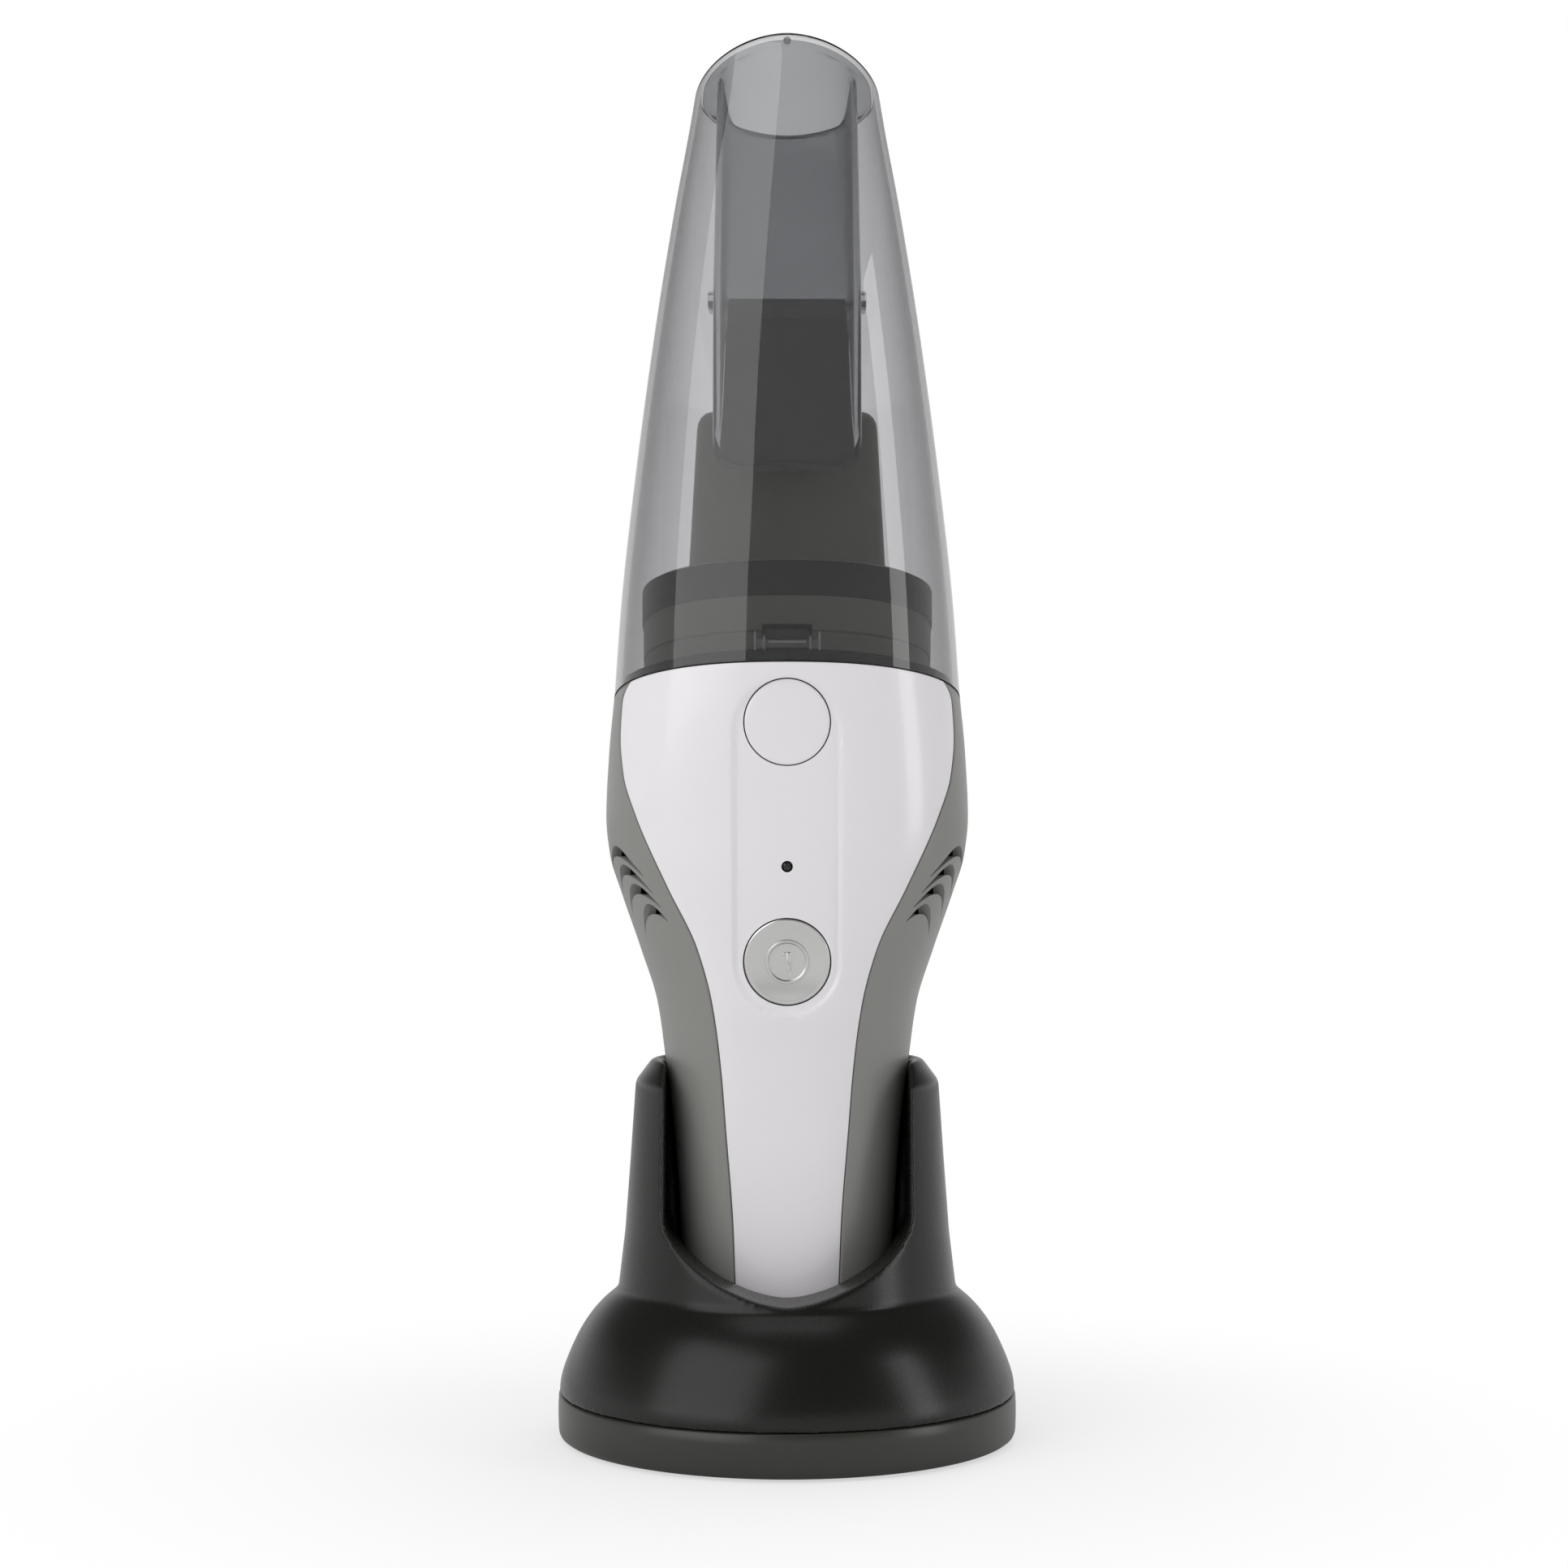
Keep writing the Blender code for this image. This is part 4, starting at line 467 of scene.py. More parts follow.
def walled_sheet(columns: int, rows: int, outer: Place, inner: Place, cap: bool = False) -> Shape:
    """A curved sheet with a wall, from a grid.

    Args:
        columns: Steps across.
        rows: Steps up.
        outer: Outer point for a column and row number.
        inner: Inner point for a column and row number.
        cap: Fill across the lowest row.

    Returns:
        The closed shell.
    """
    shape = bmesh.new()
    across = shape.verts.layers.int.new("across")
    up = shape.verts.layers.int.new("up")
    bmesh.ops.create_grid(shape, x_segments=columns, y_segments=rows, size=1.0)
    for vert in shape.verts:
        vert[across] = round((vert.co.x + 1) / 2 * columns)
        vert[up] = round((vert.co.y + 1) / 2 * rows)
        vert.co = outer(vert[across], vert[up])
    if cap:
        lowest = [edge for edge in shape.edges if all(vert[up] == 0 for vert in edge.verts)]
        ends = [vert for vert in shape.verts if vert[up] == 0 and vert[across] in (0, columns)]
        closing = bmesh.ops.contextual_create(shape, geom=ends)["edges"]
        bmesh.ops.edgeloop_fill(shape, edges=lowest + closing)
    made = bmesh.ops.extrude_face_region(shape, geom=shape.faces[:], use_keep_orig=True)
    for vert in new_verts(made):
        vert.co = inner(vert[across], vert[up])
    return outwards(shape)


def spun(profile: Sequence[tuple[float, float]], steps: int, closed: bool = False) -> Shape:
    """A profile of (radius, height) spun about Z.

    Args:
        profile: The points in order; it may start and end on the axis.
        steps: Steps in a full turn.
        closed: Join the last point to the first.

    Returns:
        The closed solid.
    """
    shape = bmesh.new()
    points = [shape.verts.new((radius, 0.0, height)) for radius, height in profile]
    chain = list(zip(points, points[1:])) + ([(points[-1], points[0])] if closed else [])
    edges = [shape.edges.new(pair) for pair in chain]
    bmesh.ops.spin(shape, geom=points + edges, cent=(0, 0, 0), axis=(0, 0, 1), angle=2 * pi, steps=steps,
                   use_merge=True)
    bmesh.ops.remove_doubles(shape, verts=shape.verts[:], dist=0.001 * MM)
    return outwards(shape)


def block(low: Sequence[float], high: Sequence[float], rounding: float = 0.0) -> Shape:
    """A box between two corners, with its edges rounded."""
    shape = bmesh.new()
    bmesh.ops.create_cube(shape, size=1.0)
    bmesh.ops.scale(shape, vec=[b - a for a, b in zip(low, high)], verts=shape.verts[:])
    bmesh.ops.translate(shape, vec=[(a + b) / 2 for a, b in zip(low, high)], verts=shape.verts[:])
    if rounding:
        bmesh.ops.bevel(shape, geom=shape.edges[:], offset=rounding, segments=3, profile=0.5, affect="EDGES",
                        material=-1)
    return shape


def rod(radius: float, low: float, high: float, turn: Matrix, steps: int = 48,
        rounding: float = 0.0) -> Shape:
    """A round rod along Z between two heights, then turned and put in place."""
    shape = bmesh.new()
    bmesh.ops.create_cone(shape, cap_ends=True, segments=steps, radius1=radius, radius2=radius,
                          depth=high - low)
    bmesh.ops.translate(shape, vec=(0, 0, (low + high) / 2), verts=shape.verts[:])
    if rounding:
        rims = [edge for edge in shape.edges if any(len(face.verts) > 4 for face in edge.link_faces)]
        bmesh.ops.bevel(shape, geom=rims, offset=rounding, segments=3, profile=0.5, affect="EDGES", material=-1)
    bmesh.ops.transform(shape, matrix=turn, verts=shape.verts[:])
    return shape


def pushed(outline: Sequence[Vector], push: Vector) -> Shape:
    """A flat outline pushed straight along a vector into a closed prism."""
    shape = bmesh.new()
    face = shape.faces.new([shape.verts.new(point) for point in outline])
    made = bmesh.ops.extrude_face_region(shape, geom=[face], use_keep_orig=True)
    bmesh.ops.translate(shape, vec=push, verts=new_verts(made))
    return outwards(shape)


def mm(*lengths: float) -> tuple[float, ...]:
    """Millimetres as metres."""
    return tuple(length * MM for length in lengths)


ALONG_Y = Matrix.Rotation(-pi / 2, 4, "X")
ALONG_X = Matrix.Rotation(pi / 2, 4, "Y")


def as_object(name: str, shape: Shape) -> Item:
    """A bmesh as a smooth-shaded object at the origin."""
    mesh = bpy.data.meshes.new(name)
    shape.to_mesh(mesh)
    shape.free()
    mesh.shade_smooth()
    mesh.set_sharp_from_angle(angle=SHARP)
    item = bpy.data.objects.new(name, mesh)
    bpy.context.scene.collection.objects.link(item)
    return item


def applied(item: Item) -> Item:
    """Turn an object's modifiers into its mesh."""
    evaluated = item.evaluated_get(bpy.context.evaluated_depsgraph_get())
    mesh = bpy.data.meshes.new_from_object(evaluated)
    item.modifiers.clear()
    item.data = mesh
    mesh.name = item.name
    return item


def carved(item: Item, cutters: Iterable[Shape],
           operation: str = "DIFFERENCE") -> Item:
    """Cut shapes out of an object, or join them to it.

    Args:
        item: The object.
        cutters: The shapes, each used up.
        operation: DIFFERENCE or UNION.

    Returns:
        The same object.
    """
    tools = [as_object("tool", cutter) for cutter in cutters]
    for tool in tools:
        cut = item.modifiers.new("carve", "BOOLEAN")
        cut.operation, cut.solver, cut.object = operation, "EXACT", tool
    applied(item)
    for tool in tools:
        bpy.data.objects.remove(tool)
    item.data.shade_smooth()
    item.data.set_sharp_from_angle(angle=SHARP)
    return item


@dataclass
class Assembly:
    """A sub-assembly on one body, which dresses the pieces it builds."""

    body: str

    def keep(self, item: Item, finish: Finish, *nodes: str, slot: str | None = None,
             body: str | None = None) -> Item:
        """Give a piece its finish and body, and say which CAD nodes it stands for.

        Args:
            item: The piece, in place.
            finish: Its finish.
            nodes: The CAD nodes it replaces.
            slot: The record's material slot, if it isn't the finish's name.
            body: The body, if it isn't the assembly's own.

        Returns:
            The piece.
        """
        item.data.materials.clear()
        item.data.materials.append(finish.material())
        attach(item, body or self.body)
        if nodes:
            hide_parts(*nodes)
        slot or finish.name
        LOG.info("%s: %d faces on %s", item.name, len(item.data.polygons), body or self.body)
        return item


# ---------------------------------------------------------------- casing

# Radius and height of the two buttons, and of the light's hole.
RELEASE = (11.9 * MM, 206.4 * MM)
POWER = (12.1 * MM, 139.6 * MM)
LIGHT = (1.3 * MM, 166.3 * MM)


@dataclass
class Casing(Assembly):
    """Top cover, left and right housings with sinks for the housing screws, and the dark plates behind the
    vents.
    """

    body: str = "hand_unit"
    top: float = 213.45 * MM
    roll: float = 0.4 * MM
    speed: float = 48 * MM
    vents: tuple = (((-28.5, 163.6), (-17.5, 172.0), (-7.0, 164.0)),
                    ((-29.5, 159.0), (-20.4, 166.7), (-12.0, 158.0)),
                    ((-30.5, 155.0), (-22.6, 161.2), (-15.0, 152.0)),
                    ((-31.0, 151.0), (-26.0, 155.4), (-20.0, 147.0)))
    screws: tuple = ((36.4, 193.0), (32.0, 170.0), (21.0, 139.0), (8.0, 105.0))

    def levels(self, low: float, rows: int) -> list[float]:
        """Heights of the rows, closer at both ends."""
        near = [low + step * MM for step in (0.0, 0.15, 0.4, 0.8, 1.4, 2.2, 3.2)]
        far = [self.top - step * MM for step in (0.4, 0.12, 0.0)]
        step = (far[0] - 0.7 * MM - near[-1]) / (rows - len(near) - len(far))
        return near + [near[-1] + step * (i + 1) for i in range(rows + 1 - len(near) - len(far))] + far

    def edge_sink(self, distance: float) -> float:
        """How far a surface is rolled in at a distance from its edge."""
        short = max(1 - distance / self.roll, 0.0)
        return self.roll * (1 - sqrt(1 - short * short))

    def spread(self, start: float, end: float, columns: int) -> list[tuple[float, float]]:
        """Turns of the columns between two edges, each with its distance from the nearer edge.

        Near an edge a radian is taken as `speed` of surface.
        """
        near = [0.0, 0.25 * self.roll, 0.6 * self.roll, self.roll]
        inner_start, inner_end = start + near[-1] / self.speed, end - near[-1] / self.speed
        count = columns + 1 - 2 * (len(near) - 1)
        places = [(start + d / self.speed, d) for d in near[:-1]]
        places += [(inner_start + (inner_end - inner_start) * i / (count - 1), self.roll) for i in range(count)]
        return places + [(end - d / self.speed, d) for d in reversed(near[:-1])]

    def cover(self) -> Item:
        """The white cover, with its sunk channel and the holes for buttons and light."""
        columns, rows = 146, 226
        heights = self.levels(24.15 * MM, rows)
        table = []
        for height in heights:
            section = CASING.section(height)
            edge = section.turn_at(max(CASING.cover_edge(height) - GAP / 2, 0.5 * MM))
            table.append((section, self.spread(-edge, edge, columns), self.edge_sink(self.top - height)))

        def outer(i: float, j: float) -> Vector:
            section, places, top_sink = table[int(j)]
            turn, distance = places[int(i)]
            point = section.place(turn)
            sink = max(self.edge_sink(distance), top_sink) + CASING.channel_sink(point.x, point.z)
            return section.place(turn, sink)

        def inner(i: float, j: float) -> Vector:
            section, places, _ = table[int(j)]
            return section.place(places[int(i)][0], CASING.wall + self.roll)

        item = as_object("top_cover_shell", walled_sheet(columns, rows, outer, inner))
        holes = [rod(radius + GAP, -70 * MM, -20 * MM, Matrix.Translation((0, 0, height)) @ ALONG_Y, 96)
                 for radius, height in (RELEASE, POWER, LIGHT)]
        return self.keep(carved(item, holes), WHITE_GLOSS, "top_cover")

    def vent(self, arc: Sequence[tuple[float, float]], sign: int) -> Shape:
        """One crescent of a vent, as a prism across the housing's wall."""
        start, peak, end = (Vector((24 * MM * sign, y * MM, z * MM)) for y, z in arc)
        pull = 2 * peak - (start + end) / 2
        upper, lower = [], []
        for i in range(25):
            t = i / 24
            place = (1 - t) ** 2 * start + 2 * t * (1 - t) * pull + t * t * end
            upper.append(place)
            lower.append(place - Vector((0, 0, (0.5 + 2.5 * sin(pi * t)) * MM)))
        return pushed(upper + lower[::-1], Vector((sign * 38 * MM, 0, 0)))

    def housing(self, side: str, sign: int) -> Item:
        """One grey half, from the cover's edge round to the seam at the back."""
        columns, rows = 96, 200
        heights = self.levels(CASING.bottom, rows)
        table = []
        for height in heights:
            section = CASING.section(height)
            seam = section.turn_at(GAP / 2)
            edge = max(section.turn_at(CASING.cover_edge(height) + GAP / 2), seam)
            table.append((section, self.spread(edge, pi - seam, columns), self.edge_sink(self.top - height)))
        span = self.top - CASING.bottom

        def outer(i: float, j: float) -> Vector:
            section, places, top_sink = table[int(j)]
            turn, distance = places[int(i)]
            point = section.place(turn, max(self.edge_sink(distance), top_sink))
            return Vector((max(point.x, GAP / 2) * sign, point.y, point.z))

        def inner(i: float, j: float) -> Vector:
            section, places, _ = table[int(j)]
            point = section.place(places[int(i)][0], CASING.wall + self.roll)
            lift = CASING.wall * (1 - (section.height - CASING.bottom) / span)
            return Vector((max(point.x, GAP / 2) * sign, point.y, point.z + lift))

        item = as_object(side + "_housing_shell", walled_sheet(columns, rows, outer, inner, cap=True))
        cutters = [self.vent(arc, sign) for arc in self.vents]
        cutters.append(rod(2.5 * MM, 15 * MM, 30 * MM, Matrix.Translation((8 * MM * sign, -3.2 * MM, 0))))
        if sign < 0:
            cutters += [rod(2.8 * MM, 20 * MM, 70 * MM, Matrix.Translation((0, y * MM, z * MM))
                            @ Matrix.Rotation(-pi / 2, 4, "Y")) for y, z in self.screws]
        return self.keep(carved(item, cutters), GREY_SATIN, side + "_housing")

    def shade_plate(self, side: str, sign: int) -> Item:
        """A dark plate that closes the view through the vents: painted shade standing in for the dark inside
        behind them.
        """
        x = sorted((27.0 * MM * sign, 28.0 * MM * sign))
        plate = block((x[0], -29 * MM, 145 * MM), (x[1], -4 * MM, 173 * MM), 0.3 * MM)
        return self.keep(as_object("vent_shade_plate_" + side, plate), BLACK_PLASTIC, slot="black_satin")

    def build(self) -> None:
        """Build every piece of the casing."""
        self.shade_plate("left", -1)
        self.shade_plate("right", 1)
        self.cover()
        self.housing("left", -1)
        self.housing("right", 1)


@dataclass
class Buttons(Assembly):
    """Release button, power button with its raised mark, and the status light."""

    body: str = "hand_unit"

    def disc(self, name: str, radius: float, height: float, back: float,
             profile: Sequence[tuple[float, float]]) -> Item:
        """A round button whose face follows the channel's floor.

        Args:
            name: The piece's name.
            radius: Its radius.
            height: The height of its middle.
            back: The y of its back.
            profile: Share of the radius and depth under the surface of each ring, from the rim in.

        Returns:
            The button.
        """
        shape = bmesh.new()
        turn = shape.verts.layers.float.new("turn")
        ring = bmesh.ops.create_circle(shape, cap_ends=False, radius=1.0, segments=96)["verts"]
        for vert in ring:
            vert[turn] = atan2(vert.co.x, vert.co.y)
            vert.co = Vector((radius * sin(vert[turn]), back, height + radius * cos(vert[turn])))
        edges = shape.edges[:]
        bmesh.ops.edgeloop_fill(shape, edges=edges)
        for share, sink in profile:
            ring, edges = next_ring(shape, edges)
            for vert in ring:
                x, z = radius * share * sin(vert[turn]), height + radius * share * cos(vert[turn])
                vert.co = Vector((x, CASING.face(x, z) + sink, z))
        bmesh.ops.edgeloop_fill(shape, edges=edges)
        return as_object(name, outwards(shape))

    def build(self) -> None:
        """Build buttons, mark and light."""
        flat = [(1.0, 0.45 * MM), (0.99, 0.16 * MM), (0.965, 0.03 * MM), (0.93, 0.0), (0.75, 0.0), (0.55, 0.0),
                (0.35, 0.0), (0.15, 0.0), (0.03, 0.0)]
        release = self.disc("release_button_cap", *RELEASE, -39 * MM, flat)
        self.keep(release, WHITE_GLOSS, "release_button", body="release_button")
        dish = 1.5 * MM
        bowl = [(1.0, 0.55 * MM), (0.992, 0.2 * MM), (0.97, 0.05 * MM), (0.94, 0.02 * MM), (0.92, 0.06 * MM)]
        ridge = ((0.515, 0.0), (0.503, 0.45 * MM), (0.483, 0.60 * MM), (0.455, 0.60 * MM), (0.435, 0.45 * MM),
                 (0.423, 0.0))
        steps = [(share, 0.0) for share in (0.88, 0.82, 0.76, 0.70, 0.64, 0.58, 0.53)]
        steps += [*ridge, *((share, 0.0) for share in (0.34, 0.24, 0.14, 0.04))]
        bowl += [(share, dish * (1 - (share / 0.94) ** 2) - rise) for share, rise in steps]
        power = self.disc("power_button_cap", *POWER, -32 * MM, bowl)
        self.keep(power, SILVER_PAINT, "power_button", body="power_button")
        self.mark(CASING.face(0.0, POWER[1]) + dish * 0.95)
        lens = self.disc("status_light", 1.2 * MM, LIGHT[1], -38 * MM,
                         [(1.0, 0.5 * MM), (0.9, 0.25 * MM), (0.6, 0.12 * MM), (0.2, 0.08 * MM)])
        self.keep(lens, DARK_LENS, "led_lens", slot="black_satin")

    def mark(self, floor: float) -> None:
        """The raised bar inside the power button's ring."""
        bar = block((-0.2 * MM, floor - 0.75 * MM, 136.9 * MM), (1.0 * MM, floor + 0.3 * MM, 142.4 * MM),
                    0.25 * MM)
        flag = block((-1.3 * MM, floor - 0.70 * MM, 141.3 * MM), (0.5 * MM, floor + 0.3 * MM, 142.35 * MM),
                     0.22 * MM)
        item = carved(as_object("power_mark", bar), [flag], "UNION")
        self.keep(item, SILVER_PAINT, body="power_button")


# ---------------------------------------------------------------- dust cup and filter

@dataclass
class DustCup(Assembly):
    """The clear cup, its inlet duct and the rubber flap at the duct's end."""

    body: str = "cup"
    top: float = 397.0 * MM
    wall: float = 1.8 * MM
    duct_wall: float = 1.6 * MM
    stations: Stations = Stations(4, (
        (213.6, 50.4, -47.6, 0.0, 46.0, 0.2017, 2.3),
        (242.0, 48.4, -43.5, 1.0, 43.5, 0.225, 2.3),
        (276.6, 44.7, -37.7, 2.0, 39.0, 0.26, 2.28),
        (322.0, 38.9, -29.7, 4.0, 33.0, 0.36, 2.2),
        (360.0, 33.2, -22.2, 6.0, 27.5, 0.50, 2.05),
        (384.0, 29.2, -17.0, 7.4, 23.8, 0.61, 1.9),
        (397.0, 27.2, -14.0, 8.0, 22.0, 0.669, 1.85)))
    duct_stations: Stations = Stations(3, (
        (324.4, 21.2, -25.5, 2.5, -1.81, 7.0), (333.0, 21.2, -20.5, 4.5, -0.60, 6.0),
        (346.0, 21.0, -17.0, 8.5, 0.0, 4.2), (372.0, 20.6, -13.6, 14.0, 0.42, 3.0),
        (395.2, 20.0, -10.0, 18.3, 0.669, 3.0)))

    def section(self, height: float) -> Section:
        """The cup's section at a height."""
        return Section(height, *self.stations.at(height))

    def duct(self, height: float) -> Section:
        """The duct's section at a height."""
        half_width, front, back, slope, power = self.duct_stations.at(height)
        return Section(height, half_width, front, (front + back) / 2, back, slope, power)

    def cup(self) -> Item:
        """The clear shell, with a rounded mouth and the ledge that the latch holds."""
        low, rows = 213.75 * MM, 64
        heights = [low + (self.top - 0.8 * MM - low) * i / rows for i in range(rows + 1)]
        mouth = self.section(self.top)
        lip = [(replace(mouth, height=self.top - drop * MM), inset * MM)
               for drop, inset in ((0.4, 0.08), (0.1, 0.35), (0.0, 0.9), (0.1, 1.45), (0.4, 1.72))]
        rings = [(self.section(height), 0.0) for height in heights] + lip
        rings += [(self.section(height), self.wall) for height in reversed(heights)]
        item = as_object("dust_cup_shell", loft(rings, 144, close_round=True))
        ledge = block(mm(-8.7, -43.9, 227.0), mm(8.7, -42.9, 229.2))
        return self.keep(carved(item, [ledge], "UNION"), SMOKY_CLEAR, "dust_cup")

    def marks(self) -> None:
        """The moulded bracket round the latch's ledge, drawn pale as painted highlight, and the small gate mark
        at the nose, in the darker painted-shade copy of the clear plastic.
        """
        front = self.section(229.0 * MM).front + self.wall
        parts = [block((-5.2 * MM, front - 0.3 * MM, 228.2 * MM), (5.2 * MM, front + 0.3 * MM, 228.9 * MM),
                       0.15 * MM)]
        for sign in (-1, 1):
            for x, low, high in ((6.4, 226.6, 230.2), (8.9, 226.2, 231.4)):
                x = x * sign * MM
                parts.append(block((x - 0.3 * MM, front - 0.3 * MM, low * MM),
                                   (x + 0.3 * MM, front + 0.3 * MM, high * MM), 0.15 * MM))
        item = carved(as_object("latch_bracket", parts[0]), parts[1:], "UNION")
        self.keep(item, PAINTED_HIGHLIGHT_LINE, slot="smoky_clear")
        tip = self.section(self.top)
        gate = rod(1.1 * MM, -0.25 * MM, 0.6 * MM, Matrix.Translation((0, tip.front, 403.6 * MM)) @ ALONG_Y, 40,
                   0.2 * MM)
        # The gate mark's darker clear colour is painted shade.
        self.keep(as_object("gate_mark", gate), SMOKY_PAINTED_SHADE, slot="smoky_clear")

    def inlet(self) -> Item:
        """The duct that leads down from the mouth; the ears that carry the flap are built in ears()."""
        low, high, rows = 324.4 * MM, 393.6 * MM, 34
        heights = [low + (high - low) * i / rows for i in range(rows + 1)]
        mouth = self.section(self.top)
        rings = [(self.duct(height), 0.0) for height in heights]
        rings += [(replace(mouth, height=395.0 * MM), 2.9 * MM), (replace(mouth, height=395.3 * MM), 2.4 * MM),
                  (replace(mouth, height=396.4 * MM), 2.4 * MM), (replace(mouth, height=396.8 * MM), 2.9 * MM)]
        rings += [(self.duct(height), self.duct_wall) for height in reversed(heights)]
        item = as_object("inlet_duct_shell", loft(rings, 112, close_round=True))
        # The duct's darker clear colour is painted shade.
        return self.keep(item, SMOKY_PAINTED_SHADE, "inlet_duct", slot="smoky_clear")

    def ears(self, axis: Vector) -> None:
        """The two lugs that carry the hinge pin."""
        for side, sign in (("left", -1), ("right", 1)):
            x = sorted((sign * 19.9 * MM, sign * 23.1 * MM))
            item = as_object("hinge_lug_" + side, block((x[0], axis.y - 8.0 * MM, axis.z - 2.5 * MM),
                                                        (x[1], axis.y + 2.5 * MM, axis.z + 2.5 * MM), 0.6 * MM))
            self.keep(item, SMOKY_CLEAR)

    def flap(self) -> Vector:
        """The rubber flap over the duct's end.

        Returns:
            A point of its hinge axis.
        """
        end = self.duct(324.4 * MM)
        along = Vector((0, -1, end.slope)).normalized()
        outward = Vector((0, -along.z, along.y))
        edge = Vector((0, end.back, end.height - end.slope * end.back))
        axis = edge - along * 3.2 * MM + outward * 1.4 * MM
        columns, rows = 28, 44
        half_width, start, length, corner = 19.3 * MM, 0.4 * MM, 57.6 * MM, 6.0 * MM

        def spot(i: float, j: float, lift: float) -> Vector:
            run = length * j / rows
            short = max(corner * 0.6 - run, 0.0) / (corner * 0.6), max(run - length + corner, 0.0) / corner
            tuck = corner * (1 - sqrt(1 - min(max(short), 1.0) ** 2)) * (0.6 if short[0] else 1.0)
            across = (half_width - tuck) * (2 * i / columns - 1)
            curl = 0.5 * MM * eased((run - length + 7 * MM) / (7 * MM)) * cos(across * 90)
            return axis + Vector((across, 0, 0)) + along * (start + run) + outward * (lift - curl)

        shape = walled_sheet(columns, rows, lambda i, j: spot(i, j, -1.1 * MM),
                             lambda i, j: spot(i, j, 0.1 * MM))
        barrel = rod(1.5 * MM, -18.8 * MM, 18.8 * MM, Matrix.Translation(axis) @ ALONG_X)
        item = carved(as_object("flap", shape), [barrel], "UNION")
        self.keep(item, BLACK_RUBBER, "flap_valve", body="flap")
        return axis

    def build(self) -> None:
        """Build cup, duct, flap and lugs."""
        self.cup()
        self.marks()
        self.inlet()
        self.ears(self.flap())


@dataclass
class Filter(Assembly):
    """The filter's frame, with its flange and shoulders."""

    body: str = "filter"
    wall: float = 1.6 * MM
    post_start: float = 246.0 * MM

    def ring(self, height: float, half_width: float, depth: float, middle: float, slope: float) -> Section:
        """A section of the frame; lengths in millimetres."""
        return Section(height * MM, half_width * MM, (middle - depth) * MM, middle * MM, (middle + depth) * MM,
                       slope, 2.3)

    def build(self) -> None:
        """Build the frame with its wall and the notch that clears the latch."""
        joint = CASING.joint_slope
        flange = ((219.5, 42, 37.6), (223.0, 42, 37.6), (223.4, 41.4, 37.0), (224.6, 41.4, 37.0),
                  (225.0, 42, 37.6), (244.0, 42, 37.6), (244.5, 41.8, 37.4), (245.2, 40.8, 36.4))
        path = [self.ring(*row, 0.5, joint) for row in flange]
        path += [self.ring(246.0, 37.0, 30.0, 4.0, joint), self.ring(247.4, 30.9, 17.2, 14, joint),
                 self.ring(248.6, 30.0, 16.3, 14, 0.17), self.ring(250.5, 29.7, 16.0, 14, 0.10)]
        for step in range(1, 12):
            share = step / 12
            path.append(self.ring(250.5 + 41.5 * share, 29.7 - 2.7 * share, 16 - share, 14,
                                  0.10 - 0.35 * share))
        path += [self.ring(292 + 5 * sin(turn), 23 + 4 * cos(turn), 11.5 + 3.5 * cos(turn), 14, -0.25)
                 for turn in (0.0, pi / 8, pi / 4, 3 * pi / 8, pi / 2)]
        drops = [self.wall if section.height > self.post_start else 0.0 for section in path]
        inside = [(replace(section, height=section.height - drop), self.wall)
                  for section, drop in zip(path, drops)]
        rings = inside[::-1] + [(section, 0.0) for section in path]
        item = as_object("filter_shell", loft(rings, 112, close_start=True, close_end=True))
        notch = block(mm(-7, -60, 214), mm(7, -32.5, 234))
        self.keep(carved(item, [notch]), OLIVE_PLASTIC, "filter_frame")
        # A black ring round the flange: painted shade for a shadow gap on the flange.
        profile = ((234.6, -0.4), (234.6, 0.25), (235.0, 0.4), (244.0, 0.4), (244.3, 0.25), (244.3, -0.4))
        band = [(self.ring(height, 42 + out, 37.6 + out, 0.5, joint), 0.0) for height, out in profile]
        item = as_object("filter_shadow_band", loft(band, 112, close_round=True))
        self.keep(item, BLACK_PLASTIC, slot="black_satin")


# ---------------------------------------------------------------- stand

